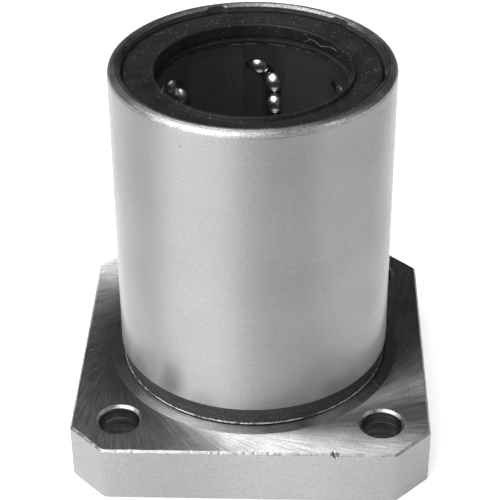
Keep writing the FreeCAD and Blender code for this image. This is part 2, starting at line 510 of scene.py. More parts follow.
@lru_cache
def scratch_group() -> bpy.types.NodeTree:
    """Build one straight scratch on a round face: a thin line that leans as it runs round and up.

    Returns:
        Group with the output Line.
    """
    inputs = {"Angle": 0.0, "Height": 0.0, "Lean": 0.0, "Length": 0.003, "Width": 0.00005}
    graph, given = new_group("scratch", inputs, ["Line"])
    parts = graph.add("SeparateXYZ", {0: graph.place}).outputs
    turn = graph.math("SUBTRACT", graph.math("ARCTAN2", parts["Y"], parts["X"]), given["Angle"])
    around = graph.times(turn, graph.radius)
    up = graph.math("SUBTRACT", parts["Z"], given["Height"])
    cosine, sine = graph.math("COSINE", given["Lean"]), graph.math("SINE", given["Lean"])
    along = graph.math("MULTIPLY_ADD", around, cosine, graph.times(up, sine))
    across = graph.math("SUBTRACT", graph.times(up, cosine), graph.times(around, sine))
    ends = graph.math("DIVIDE", graph.math("ABSOLUTE", along), given["Length"])
    sides = graph.math("DIVIDE", graph.math("ABSOLUTE", across), given["Width"])
    fade_ends, fade_sides = (0.3, 0.5), (0.4, 1.0)  # shares at which the line begins to fade and is gone
    line = graph.times(graph.ramp(ends, *fade_ends, 1.0, 0.0), graph.ramp(sides, *fade_sides, 1.0, 0.0))
    return graph.put_out(Line=line)


@lru_cache
def streak_group() -> bpy.types.NodeTree:
    """Build a thin line round the axis that wanders up and down and has gaps.

    Returns:
        Group with the outputs Streak, and Over for the height over the line's middle.
    """
    lengths = dict.fromkeys(("Level", "Inner", "Outer", "Shake"), 0.0)
    noises = dict.fromkeys(("Scale", "Detail", "Low", "High", "Least", "Shake Scale", "Shake Detail"), 1.0)
    graph, given = new_group("streak", lengths | noises, ["Streak", "Over"])
    shake = graph.math("SUBTRACT", graph.noise(graph.place, given["Shake Scale"], given["Shake Detail"]), 0.5)
    level = graph.math("MULTIPLY_ADD", shake, given["Shake"], given["Level"])
    over = graph.math("SUBTRACT", graph.height, level)
    line = graph.ramp(graph.math("ABSOLUTE", over), given["Inner"], given["Outer"], 1.0, 0.0)
    noise = graph.noise(graph.place, given["Scale"], given["Detail"])
    whole = graph.ramp(noise, given["Low"], given["High"], given["Least"], 1.0)
    return graph.put_out(Streak=graph.times(line, whole), Over=over)


@dataclass(frozen=True)
class Scatter:
    """Scattered specks of one kind."""

    scale: float  # cells per metre
    share: float  # share of the cells that hold a speck
    size: float  # radius of the largest speck, in cells

    def mask(self, graph: Graph) -> Socket:
        """Return 1 on the specks and 0 between them."""
        return graph.pattern(specks_group(), Scale=self.scale, Share=self.share, Size=self.size)["Specks"]


@dataclass(frozen=True)
class Scratch:
    """One straight scratch on the barrel."""

    angle: float  # angle of its middle about the axis, in degrees
    level: float  # height of its middle
    lean: float  # how far it leans from the level, in degrees
    length: float  # its length
    dark: float  # how much darker it is, or below 0 how much paler
    width: float = 0.06  # half its width, with the faded sides

    def mask(self, graph: Graph) -> Socket:
        """Mark the scratch.

        Args:
            graph: Graph of the material.

        Returns:
            Mask that is 1 on the scratch and 0 beside it.
        """
        angles = {"Angle": math.radians(self.angle), "Lean": math.radians(self.lean)}
        lengths = {"Height": self.level, "Length": self.length, "Width": self.width}
        scaled = {key: value * MM for key, value in lengths.items()}
        return graph.pattern(scratch_group(), **angles, **scaled)["Line"]


@dataclass(frozen=True)
class Streak:
    """A thin broken line round the bearing, such as a burr, moulding flash or a thin dark line."""

    inner: float  # distance from its middle where the line begins to fade
    outer: float  # distance from its middle where it ends
    scale: float  # noise scale of its gaps, per metre
    low: float  # noise below which there is a gap
    high: float  # noise above which the line is whole
    detail: float = 2.0  # detail of that noise
    least: float = 0.0  # weight of the line in a gap
    shake: float = 0.0  # how far the line wanders up and down
    shake_scale: float = 900.0  # noise scale of its wandering, per metre
    shake_detail: float = 2.0  # detail of that noise

    def lay(self, graph: Graph, level: float) -> tuple[Socket, Socket]:
        """Lay the line at one height.

        Args:
            graph: Graph of the material.
            level: Height of the line's middle, in millimetres.

        Returns:
            The line's mask, and the height over its middle in metres.
        """
        lengths = {"Level": level, "Inner": self.inner, "Outer": self.outer, "Shake": self.shake}
        scaled = {key: value * MM for key, value in lengths.items()}
        noises = {
            "Scale": self.scale, "Detail": self.detail, "Low": self.low, "High": self.high,
            "Least": self.least, "Shake Scale": self.shake_scale, "Shake Detail": self.shake_detail,
        }
        laid = graph.pattern(streak_group(), **scaled, **noises)
        return laid["Streak"], laid["Over"]


class Spread(Enum):
    """Which way a finish smears its reflections: across its grinding or turning marks."""

    EVEN = "even"
    UPRIGHT = "upright"
    RADIAL = "radial"
    ACROSS_BRUSH = "across_brush"


@dataclass(frozen=True)
class Finish:
    """A procedural finish: one shader whose colour, roughness and relief come from patterns."""

    name: str  # name of the material
    level: float  # grey level of the base colour
    roughness: float  # middle roughness
    metallic: float = 1.0  # 1 for bare metal, 0 for rubber and resin
    relief: float = 0.002  # height of the marks in millimetres
    anisotropy: float = 0.0  # how far reflections are smeared
    spread: Spread = Spread.EVEN  # which way they are smeared
    specular: float = 0.5  # specular level of a finish that isn't metal
    oil: float = 0.0  # weight of a thin clear film on top
    oil_roughness: float = 0.2  # roughness of that film
    glow: float = 0.0  # strength of its own white light
    grain_scale: float = 3000.0  # noise scale of the speckle, per metre
    cloud_scale: float = 600.0  # noise scale of the clouds, per metre
    rough_swing: Pair = (0.05, 0.06)  # how far the roughness goes below and above its middle

    def patterns(self, graph: Graph) -> Patterns:
        """Return colour, roughness and height of the finish; each kind of finish has its own."""
        raise NotImplementedError

    def grain(self, graph: Graph) -> tuple[Socket, Socket]:
        """Return the speckle and the clouds of the finish."""
        pattern = graph.pattern(grain_group(), Scale=self.grain_scale, Cloud_Scale=self.cloud_scale)
        return pattern["Grain"], pattern["Cloud"]

    def shade(self, graph: Graph, tone: Input) -> Socket:
        """Return the base grey times a tone."""
        return graph.vector("MULTIPLY", grey(self.level)[:3], tone)

    def uneven(self, graph: Graph, mask: Input) -> Socket:
        """Return a roughness that follows a mask."""
        return graph.swing(mask, self.roughness - self.rough_swing[0], self.roughness + self.rough_swing[1])

    def smear(self, graph: Graph) -> Socket:
        """Return the direction in which reflections are smeared, at each point."""
        return graph.joined(0.0, 0.0, 1.0) if self.spread is Spread.UPRIGHT else graph.flat

    def material(self) -> Material:
        """Build the material with its single shader.

        Returns:
            The new material.
        """
        material = bpy.data.materials.new(self.name)
        material.use_nodes = True
        material.node_tree.nodes.clear()
        graph = Graph(material.node_tree)
        colour, roughness, height = self.patterns(graph)
        bump = graph.add("Bump", {"Height": height, "Strength": 1.0, "Distance": self.relief * MM})
        shader = graph.add("BsdfPrincipled", {
            "Base Color": colour,
            "Roughness": roughness,
            "Metallic": self.metallic,
            "Specular IOR Level": self.specular,
            "Anisotropic": self.anisotropy,
            "Coat Weight": self.oil,
            "Coat Roughness": self.oil_roughness,
            "Emission Color": grey(1.0),
            "Emission Strength": self.glow,
            "Normal": bump.outputs[0],
        })
        if self.spread is not Spread.EVEN:
            graph.tree.links.new(self.smear(graph), shader.inputs["Tangent"])
        graph.add("OutputMaterial", {"Surface": shader.outputs[0]})
        return material


@dataclass(frozen=True)
class Ringed(Finish):
    """A finish with rings about the bearing's axis."""

    pitch: float = 7000.0  # rings per metre of radius
    run: float = 8.0  # how fast a ring changes along its length

    def rings(self, graph: Graph) -> Socket:
        """Return the rings."""
        return graph.pattern(rings_group(), Pitch=self.pitch, Run=self.run)["Rings"]


@dataclass(frozen=True)
class GroundSteel(Finish):
    """Ground or milled steel: fine lines along the cut, speckle, pits, stray scratches and spots of painted
    shade.
    """

    grain_scale: float = 4600.0
    cloud_scale: float = 110.0
    rough_swing: Pair = (0.03, 0.03)
    lines: Point = (60.0, 60.0, 7000.0)  # noise scale of the grinding lines along X, Y and Z, per metre
    line_share: float = 0.2  # share of the lines in the colour, the rest being speckle
    line_tone: float = 0.08  # how much the lines and the speckle change the colour
    cloud_tone: float = 0.03  # how much the clouds change it
    painted_shade_spots: tuple[Point, ...] = ()  # middles of spots of painted shade, dark reflections painted on the face, in millimetres
    painted_shade_size: float = 3.6  # radius of a spot of painted shade
    painted_shade_core: float = 0.1  # share of that radius within which a spot is darkest
    painted_shade_share: float = 0.22  # how much darker the middle of a spot is
    painted_foot_light: float = 0.0  # how much paler the face is at its foot: painted light
    painted_foot_light_z: Pair = (13.0, 46.0)  # heights between which it gets paler
    pits: Scatter = Scatter(scale=600.0, share=0.08, size=0.16)  # fine dark pits
    pit_share: float = 0.42  # how much darker a pit is
    scratches: tuple[Scratch, ...] = ()  # single scratches

    def patterns(self, graph: Graph) -> Patterns:
        """Work out the ground face.

        Args:
            graph: Graph of the material.

        Returns:
            Colour, roughness and height.
        """
        grain, cloud = self.grain(graph)
        height = graph.patchy(graph.vector("MULTIPLY", graph.place, self.lines))
        mixed = graph.mixed(self.line_share, grain, height)
        tone = graph.swing(mixed, 1.0 - self.line_tone, 1.0 + self.line_tone)
        tone = graph.times(tone, graph.swing(cloud, 1.0 - self.cloud_tone, 1.0 + self.cloud_tone))
        tone = graph.faded(tone, self.pits.mask(graph), self.pit_share)
        # Painted light: the face is paler towards its foot.
        if self.painted_foot_light:
            tone = graph.faded(tone, graph.near(graph.height, *self.painted_foot_light_z), -self.painted_foot_light)
        # Spots of painted shade: dark reflections painted into the colour.
        core = self.painted_shade_core * self.painted_shade_size
        for spot in self.painted_shade_spots:
            mask = graph.near(graph.off_spot(spot), core, self.painted_shade_size)
            tone = graph.faded(tone, mask, self.painted_shade_share)
        for scratch in self.scratches:
            line = scratch.mask(graph)
            tone = graph.faded(tone, line, scratch.dark)
            height = graph.math("SUBTRACT", height, line)
        return self.shade(graph, tone), self.uneven(graph, cloud), height


@dataclass(frozen=True)
class TurnedSteel(Ringed):
    """Turned steel: fine rings about the axis, speckle and dull patches."""

    grain_scale: float = 2900.0
    cloud_scale: float = 240.0
    ring_tone: float = 0.3  # how much the rings change the colour
    speckle: float = 0.2  # how much the speckle changes the colour
    dark_line_spot: Point | None = None  # middle of a thin dark broken line round the face, in millimetres
    dark_line_reach: float = 11.0  # how far the line runs to either side
    # Width and gaps of the line.
    dark_line_streak: Streak = Streak(inner=0.04, outer=0.16, scale=500.0, low=0.4, high=0.56, detail=3.0)
    dark_line_share: float = 0.6  # how much darker the line is

    def patterns(self, graph: Graph) -> Patterns:
        """Work out the turned face.

        Args:
            graph: Graph of the material.

        Returns:
            Colour, roughness and height.
        """
        rings = self.rings(graph)
        grain, cloud = self.grain(graph)
        tone = graph.swing(rings, 1.0 - self.ring_tone, 1.0 + self.ring_tone)
        tone = graph.times(tone, graph.swing(grain, 1.0 - self.speckle, 1.0 + self.speckle))
        if self.dark_line_spot:
            tone = graph.faded(tone, self.dark_band(graph), self.dark_line_share)
        return self.shade(graph, tone), self.uneven(graph, cloud), graph.math("ADD", rings, grain)

    def dark_band(self, graph: Graph) -> Socket:
        """Mark the thin dark broken line.

        Args:
            graph: Graph of the material.

        Returns:
            Mask that is 1 on the dirt and 0 beside it.
        """
        line, _ = self.dark_line_streak.lay(graph, self.dark_line_spot[2])
        reach = graph.near(graph.off_spot(self.dark_line_spot), 0.5 * self.dark_line_reach, self.dark_line_reach)
        return graph.times(line, reach)


@dataclass(frozen=True)
class DrilledSteel(Finish):
    """Wall of a drilled hole: level rings that the drill left, clouds, one bright ragged ring, and painted
    shade that darkens the deeper wall below it.
    """

    grain_scale: float = 2600.0
    cloud_scale: float = 420.0
    rough_swing: Pair = (0.06, 0.08)
    lines: Point = (90.0, 90.0, 2300.0)  # noise scale of the drill's rings along X, Y and Z, per metre
    line_range: Pair = (0.34, 0.66)  # noise that gives the darkest and the palest ring
    line_tone: Pair = (0.7, 1.25)  # darkest and palest tone of the rings
    cloud_tone: Pair = (0.8, 1.15)  # darkest and palest tone of the clouds
    # Width, gaps and wandering of the bright ring.
    bright: Streak = Streak(inner=0.03, outer=0.12, scale=330.0, low=0.45, high=0.6, shake=0.5)
    bright_z: float = 7.5  # height of the bright ring
    bright_share: float = 5.0  # how much paler it is
    lip: Pair = (-0.05, 0.25)  # heights over the ring between which the painted shade of the deeper wall gives way to painted light near the mouth
    lip_tone: Pair = (0.8, 1.5)  # tone of the wall below and above them: painted shade and painted light

    def patterns(self, graph: Graph) -> Patterns:
        """Work out the hole's wall.

        Args:
            graph: Graph of the material.

        Returns:
            Colour, roughness and height.
        """
        rings = graph.patchy(graph.vector("MULTIPLY", graph.place, self.lines), 1.0, *self.line_range)
        grain, cloud = self.grain(graph)
        tone = graph.times(graph.swing(rings, *self.line_tone), graph.swing(cloud, *self.cloud_tone))
        ring, over = self.bright.lay(graph, self.bright_z)
        tone = graph.faded(tone, ring, -self.bright_share)
        # Painted shade on the deeper wall and painted light towards the hole's mouth.
        tone = graph.times(tone, graph.ramp(over, self.lip[0] * MM, self.lip[1] * MM, *self.lip_tone))
        return self.shade(graph, tone), self.uneven(graph, grain), rings


@dataclass(frozen=True)
class WornEdge(Finish):
    """Bare bright steel along a worn edge, with fine dents and dark specks."""

    grain_scale: float = 5200.0
    cloud_scale: float = 1100.0
    rough_swing: Pair = (0.08, 0.1)
    grain_tone: Pair = (0.8, 1.15)  # darkest and palest tone of the speckle
    cloud_tone: Pair = (0.8, 1.1)  # darkest and palest tone of the clouds
    dents: Scatter = Scatter(scale=1500.0, share=0.14, size=0.26)  # fine dark dents
    dent_share: float = 0.4  # how much darker a dent is

    def patterns(self, graph: Graph) -> Patterns:
        """Work out the worn edge.

        Args:
            graph: Graph of the material.

        Returns:
            Colour, roughness and height.
        """
        grain, cloud = self.grain(graph)
        dents = self.dents.mask(graph)
        tone = graph.times(graph.swing(grain, *self.grain_tone), graph.swing(cloud, *self.cloud_tone))
        colour = self.shade(graph, graph.faded(tone, dents, self.dent_share))
        return colour, self.uneven(graph, cloud), graph.math("SUBTRACT", grain, dents)


@dataclass(frozen=True)
class BrushedFace(Finish):
    """Flange face brushed in straight strokes that leave the barrel's foot like tangents.

    A stroke that touches the circle of radius r0 at angle a passes the point (r, t) where
    t = a + acos(r0 / r), so a pattern of a alone draws the strokes.
    """

    grain_scale: float = 2600.0
    cloud_scale: float = 260.0
    start_r: float = 23.2  # radius of the circle that the strokes touch
    strokes: float = 130.0  # noise scale across the strokes, per radian
    broad: float = 0.3  # noise scale of the broad strokes, as a share of that
    wander: float = 330.0  # noise scale along the strokes, per metre
    broad_share: float = 0.25  # share of the broad strokes in the colour, the rest being fine ones
    stroke_range: Pair = (0.28, 0.72)  # noise that gives the darkest and the palest stroke
    mix_range: Pair = (0.1, 0.9)  # mix of both kinds that gives the darkest and the palest tone
    stroke_tone: Pair = (0.75, 1.22)  # darkest and palest tone of the strokes
    grain_tone: Pair = (0.9, 1.1)  # darkest and palest tone of the speckle
    cloud_tone: Pair = (0.9, 1.08)  # darkest and palest tone of the clouds
    specks: Scatter = Scatter(scale=560.0, share=0.16, size=0.16)  # pale specks of dust
    speck_level: float = 0.7  # grey level of a speck
    speck_share: float = 0.6  # how much of the face a speck hides

    def smear(self, graph: Graph) -> Socket:
        """Work out the direction across the strokes: s (z x p) - r0 p, with s the stroke's length so far.

        Args:
            graph: Graph of the material.

        Returns:
            Direction in which reflections are smeared, at each point.
        """
        around = graph.vector("CROSS_PRODUCT", (0, 0, 1), graph.flat)
        square = graph.measure("DOT_PRODUCT", graph.flat, graph.flat)
        rest = graph.math("SUBTRACT", square, (self.start_r * MM) ** 2)
        length = graph.math("SQRT", graph.math("MAXIMUM", rest, 0.0))
        start = graph.vector("MULTIPLY", graph.flat, (self.start_r * MM,) * 3)
        return graph.vector("SUBTRACT", graph.vector("MULTIPLY", around, length), start)

    def streaks(self, graph: Graph, scale: float) -> Socket:
        """Return streaks of one width: noise over (k cos a, k sin a, w r), with a the stroke's foot.

        Args:
            graph: Graph of the material.
            scale: Noise scale k across the strokes.

        Returns:
            The streaks, from 0 to 1.
        """
        parts = graph.add("SeparateXYZ", {0: graph.flat}).outputs
        angle = graph.math("ARCTAN2", parts["Y"], parts["X"])
        ratio = graph.math("MINIMUM", graph.math("DIVIDE", self.start_r * MM, graph.radius), 1.0)
        foot = graph.math("SUBTRACT", angle, graph.math("ARCCOSINE", ratio))
        east, north = (graph.times(graph.math(kind, foot), scale) for kind in ("COSINE", "SINE"))
        line = graph.joined(east, north, graph.times(graph.radius, self.wander))
        return graph.patchy(line, 1.0, *self.stroke_range, detail=3.0)

    def patterns(self, graph: Graph) -> Patterns:
        """Work out the brushed face.

        Args:
            graph: Graph of the material.

        Returns:
            Colour, roughness and height.
        """
        fine, broad = (self.streaks(graph, self.strokes * share) for share in (1.0, self.broad))
        grain, cloud = self.grain(graph)
        mixed = graph.mixed(self.broad_share, fine, broad)
        tone = graph.ramp(mixed, *self.mix_range, *self.stroke_tone)
        tone = graph.times(tone, graph.swing(grain, *self.grain_tone))
        tone = graph.times(tone, graph.swing(cloud, *self.cloud_tone))
        dust = graph.times(self.specks.mask(graph), self.speck_share)
        colour = graph.blend(dust, self.shade(graph, tone), grey(self.speck_level))
        return colour, self.uneven(graph, broad), mixed


@dataclass(frozen=True)
class DarkSteel(Ringed):
    """Dark steel, with a fine ragged burr at one height and a band of painted shade below it."""

    grain_scale: float = 2400.0
    cloud_scale: float = 300.0
    rough_swing: Pair = (0.05, 0.05)
    pitch: float = 4200.0
    run: float = 5.0
    grain_tone: Pair = (0.8, 1.2)  # darkest and palest tone of the speckle
    ring_tone: Pair = (0.85, 1.15)  # darkest and palest tone of the rings
    # Width, gaps and wandering of the burr.
    burr: Streak = Streak(
        inner=0.085, outer=0.17, scale=1100.0, low=0.34, high=0.54, least=0.1,
        shake=0.5, shake_scale=2300.0, shake_detail=3.0,
    )
    burr_z: float = 10.2  # height of the burr
    burr_level: float = 0.8  # grey level of the bare burr
    burr_height: float = 3.0  # how far the burr stands out, in heights of the speckle
    dark_band: float = 0.5  # height of the black band of painted shade below the burr
    shade_band_edge: float = 0.1  # height over which the band sets in
    shade_band_share: float = 0.7  # how much darker the band is

    def patterns(self, graph: Graph) -> Patterns:
        """Work out the dark steel.

        Args:
            graph: Graph of the material.

        Returns:
            Colour, roughness and height.
        """
        grain, cloud = self.grain(graph)
        rings = self.rings(graph)
        tone = graph.times(graph.swing(grain, *self.grain_tone), graph.swing(rings, *self.ring_tone))
        burr, over = self.burr.lay(graph, self.burr_z)
        # Painted shade: a black band below the burr.
        band = graph.math("GREATER_THAN", over, -self.dark_band * MM)
        band = graph.times(graph.ramp(over, -self.shade_band_edge * MM, 0.0, 1.0, 0.0), band)
        dull = self.shade(graph, graph.faded(tone, band, self.shade_band_share))
        colour = graph.blend(burr, dull, grey(self.burr_level))
        relief = graph.math("ADD", grain, graph.times(burr, self.burr_height))
        return colour, self.uneven(graph, cloud), relief


@dataclass(frozen=True)
class Moulding(Ringed):
    """Black rubber or resin: soft moulding texture, dust, and pale flash along ragged lines."""

    grain_scale: float = 4200.0
    cloud_scale: float = 210.0
    rough_swing: Pair = (0.06, 0.06)
    pitch: float = 2600.0
    run: float = 6.0
    haze: float = 0.6  # how far the clouds lighten the colour
    haze_gain: float = 1.7  # level of the palest cloud, in base levels
    dust: Scatter = Scatter(scale=2900.0, share=0.3, size=0.4)  # fine dust
    dust_level: float = 0.36  # grey level of the dust
    dust_share: float = 0.3  # how much of the moulding a grain of dust hides
    dust_height: float = 2.0  # how far it stands out, in heights of the speckle
    ring_height: float = 0.5  # how far the rings stand out, in heights of the speckle
    flecks: Scatter = Scatter(scale=1000.0, share=0.114, size=0.16)  # larger flecks of dust
    fleck_level: float = 0.5  # grey level of a fleck
    fleck_share: float = 0.15  # how much of the moulding a fleck hides
    flash_z: tuple[float, ...] = ()  # heights of the pale moulding flash
    flash_r: float = 15.35  # radius inside which the flash shows
    # Width and gaps of the flash.
    flash: Streak = Streak(inner=0.06, outer=0.16, scale=420.0, low=0.44, high=0.6, detail=3.0)
    flash_level: float = 0.8  # grey level of the flash

    def patterns(self, graph: Graph) -> Patterns:
        """Work out the moulding.

        Args:
            graph: Graph of the material.

        Returns:
            Colour, roughness and height.
        """
        grain, cloud = self.grain(graph)
        dust = self.dust.mask(graph)
        haze = graph.times(cloud, self.haze)
        colour = graph.blend(haze, grey(self.level), grey(self.level * self.haze_gain))
        colour = graph.blend(graph.times(dust, self.dust_share), colour, grey(self.dust_level))
        flecks = graph.times(self.flecks.mask(graph), self.fleck_share)
        colour = graph.blend(flecks, colour, grey(self.fleck_level))
        inside = graph.math("LESS_THAN", graph.radius, self.flash_r * MM)
        for level in self.flash_z:
            line, _ = self.flash.lay(graph, level)
            colour = graph.blend(graph.times(line, inside), colour, grey(self.flash_level))
        relief = graph.math("ADD", grain, graph.times(self.rings(graph), self.ring_height))
        relief = graph.math("ADD", relief, graph.times(dust, self.dust_height))
        return colour, self.uneven(graph, cloud), relief


@dataclass(frozen=True)
class PolishedBall(Finish):
    """Polished bearing steel, faintly clouded."""

    grain_scale: float = 1400.0
    cloud_scale: float = 500.0
    rough_swing: Pair = (0.0, 0.03)
    cloud_tone: Pair = (0.92, 1.04)  # darkest and palest tone of the clouds

    def patterns(self, graph: Graph) -> Patterns:
        """Return colour, roughness and height of the ball."""
        grain, cloud = self.grain(graph)
        return self.shade(graph, graph.swing(cloud, *self.cloud_tone)), self.uneven(graph, cloud), grain


@dataclass(frozen=True)
class Cloudy(Finish):
    """A matt finish whose colour only clouds over, such as lint or studio paper."""

    dim: float = 0.5  # level of the darkest cloud, as a share of the base level

    def patterns(self, graph: Graph) -> Patterns:
        """Return colour, roughness and height of the matt face."""
        grain, cloud = self.grain(graph)
        return graph.blend(cloud, grey(self.level * self.dim), grey(self.level)), self.roughness, grain


# Sub-assemblies


class Zone(Enum):
    """Zones of the sleeve, in the order of its material slots."""

    BARREL = 0
    RIM = 1
    NECK = 2
    RELIEF = 3
    FACE = 4
    SIDE = 5
    EDGE = 6
    HOLE = 7
    BORE = 8
    CONE = 9


@dataclass(frozen=True)
class ScrewHole:
    """Stepped screw hole in the flange: a chamfered bore, and a counterbore from the outer face."""

    radius: float  # radius of the bore
    chamfer: float = 0.42  # chamfer of the bore
    ease: float = 0.06  # rounding of that chamfer
    margin: float = 0.3  # width of the flat strip round the bore
    counterbore_r: float = 5.5  # radius of the counterbore
    counterbore_depth: float = 6.1  # depth of the counterbore
    counterbore_chamfer: float = 0.3  # chamfer of the counterbore
    step_ease: float = 0.04  # rounding of the step between bore and counterbore

    @property
    def mouth_r(self) -> float:
        """Return the radius of the bore's chamfer in the flange's face."""
        return self.radius + self.chamfer

    @property
    def rim_r(self) -> float:
        """Return the radius where the hole takes over from the flange's face."""
        return self.mouth_r + self.margin

    @property
    def foot_r(self) -> float:
        """Return the radius of the counterbore's chamfer in the outer face."""
        return self.counterbore_r + self.counterbore_chamfer

    def patch(self, centre: Array, top: float, upper: Array, lower: Array) -> Patch:
        """Return the hole: its profile carried round its own axis.

        Args:
            centre: Place of the hole's axis.
            top: Height of the flange's face.
            upper: Angles of the points on the upper rim.
            lower: Angles of the points on the lower rim.

        Returns:
            The hole's patch, which joins the rims of both faces.
        """
        step = self.counterbore_depth
        profile = eased(np.array([
            (self.rim_r, top, 0),
            (self.mouth_r, top, self.ease),
            (self.radius, top - self.chamfer, self.ease),
            (self.radius, step, self.step_ease),
            (self.counterbore_r, step, 0),
            (self.counterbore_r, self.counterbore_chamfer, 0),
            (self.foot_r, 0, 0),
        ], float))
        share = np.linspace(0, 1, len(profile))[:, None]
        bearing = (1 - share) * upper + share * lower
        east = centre[0] + profile[:, :1] * np.cos(bearing)
        north = centre[1] + profile[:, :1] * np.sin(bearing)
        return Patch(np.stack([east, north, np.broadcast_to(profile[:, 1:], east.shape)], axis=-1))


@dataclass(frozen=True)
class EdgeWear:
    """Wear along the flange's upper edge: soft dents and small nicks, one of them deep."""

    nicks: int = 70  # number of nicks
    nick_width: Pair = (0.08, 0.3)  # least and greatest width of a nick
    nick_depth: Pair = (0.02, 0.2)  # least and greatest depth of a nick, before the power
    nick_power: float = 1.8  # power that makes deep nicks rare
    deep_nick: Point = (-64.6, 0.4, 0.56)  # angle in degrees, width and depth of the one deep nick
    pit_r: float = 0.66  # radius of the pit in the deep nick, which the dark hole finish fills with painted shade
    dent_share: Pair = (0.05, 0.04)  # depth of the dents on face and side, as shares of the chamfer
    dent_width: Pair = (3.0, 14.0)  # widths of the fine and the broad dents, in points
    fine_weight: float = 0.5  # depth of the fine dents, as a share of the broad ones
    dent_limit: Pair = (-0.18, 0.3)  # least and greatest depth of a dent

    def cuts(self, outline: Callable[[Array], Array], turn: Array, chamfer: float) -> tuple[Array, Array]:
        """Return how much the edge is cut back along its length, on the face and on the side.

        The cut is a share of the chamfer times smooth noise, plus depth exp(-(s / width)^2) for each
        nick, with s the distance from the nick's middle.

        Args:
            outline: Gives the radius of the flange's outline at each angle.
            turn: Angles along the edge.
            chamfer: Width of the edge's chamfer.

        Returns:
            Two arrays with one cut for each angle.
        """
        random = np.random.default_rng(SEED)
        reach = outline(turn)
        place = random.uniform(-np.pi, np.pi, self.nicks)
        width = random.uniform(*self.nick_width, self.nicks)
        depth = random.uniform(*self.nick_depth, self.nicks) ** self.nick_power
        place[0], width[0], depth[0] = math.radians(self.deep_nick[0]), *self.deep_nick[1:]
        at = outline(place)
        east = reach[:, None] * np.cos(turn)[:, None] - at * np.cos(place)
        north = reach[:, None] * np.sin(turn)[:, None] - at * np.sin(place)
        nick = (depth * np.exp(-((np.hypot(east, north) / width) ** 2))).sum(axis=1)
        cuts = []
        for share in self.dent_share:
            fine, broad = (smooth_noise(random, len(turn), points) for points in self.dent_width)
            cuts.append(np.clip(share * (self.fine_weight * fine + broad) * chamfer, *self.dent_limit) + nick)
        return cuts[0], cuts[1]


@dataclass(frozen=True)
class Bore:
    """Inside of the sleeve, alike at both ends: seal seats, ring grooves, reliefs and return grooves."""

    rim_r: float = 20.95  # radius where the rim's inner chamfer starts
    cone: float = 0.33  # depth of the inner chamfer
    rim_ease: float = 0.12  # rounding of the chamfer's outer border
    cone_ease: float = 0.04  # rounding of its inner border
    notch_r: float = 20.85  # how far the return grooves reach out in the seats
    seat_r: float = 20.45  # radius of the seats of the seals
    turn_relief_r: float = 20.75  # radius of the bore beside the turns
    land_r: float = 19.05  # radius of the bore between them
    land_top: float = 50.82  # height of the upper end of that land
    land_slope: float = 0.5  # height of the slope at its end
    seat_bottom: float = 58.0  # height of the upper seat's lower end
    ring_groove_r: float = 21.1  # radius of a retaining ring's groove
    ring_groove_z: Pair = (59.4, 60.4)  # heights of the upper groove's walls
    return_groove_r: float = 2.15  # radius of a return groove's section

    def corners(self, length: float) -> list[Point]:
        """Return radius, height and rounding of the corners down the bore, from rim to rim.

        Args:
            length: Height of the sleeve.

        Returns:
            The upper half's corners, and the same mirrored for the lower half.
        """
        upper = [
            (self.rim_r, length, self.rim_ease),
            (self.seat_r, length - self.cone, self.cone_ease),
            (self.seat_r, self.ring_groove_z[1], 0),
            (self.ring_groove_r, self.ring_groove_z[1], 0),
            (self.ring_groove_r, self.ring_groove_z[0], 0),
            (self.seat_r, self.ring_groove_z[0], 0),
            (self.seat_r, self.seat_bottom, 0),
            (self.turn_relief_r, self.seat_bottom + self.seat_r - self.turn_relief_r, 0),
            (self.turn_relief_r, self.land_top + self.land_slope, 0),
            (self.land_r, self.land_top, 0),
        ]
        return upper + [(radius, length - height, ease) for radius, height, ease in reversed(upper)]

    def groove_walls(self, turn: Array) -> Array:
        """Return how far out the return grooves reach at each angle.

        A groove of radius g about a ball row at radius c reaches c cos d + sqrt(g^2 - (c sin d)^2)
        at the angle d from the row, and nothing outside that.

        Args:
            turn: Angles about the axis.

        Returns:
            Radius of the groove's wall, or 0 between grooves.
        """
        rows = np.array([middle(f"return_row_{number}") for number in range(1, CIRCUITS + 1)])
        centre = np.hypot(rows[:, 0], rows[:, 1])
        away = turn[:, None] - np.arctan2(rows[:, 1], rows[:, 0])
        rest = self.return_groove_r**2 - (centre * np.sin(away)) ** 2
        wall = centre * np.cos(away) + np.sqrt(np.maximum(rest, 0))
        return np.where((rest > 0) & (np.cos(away) > 0), wall, 0).max(axis=1)


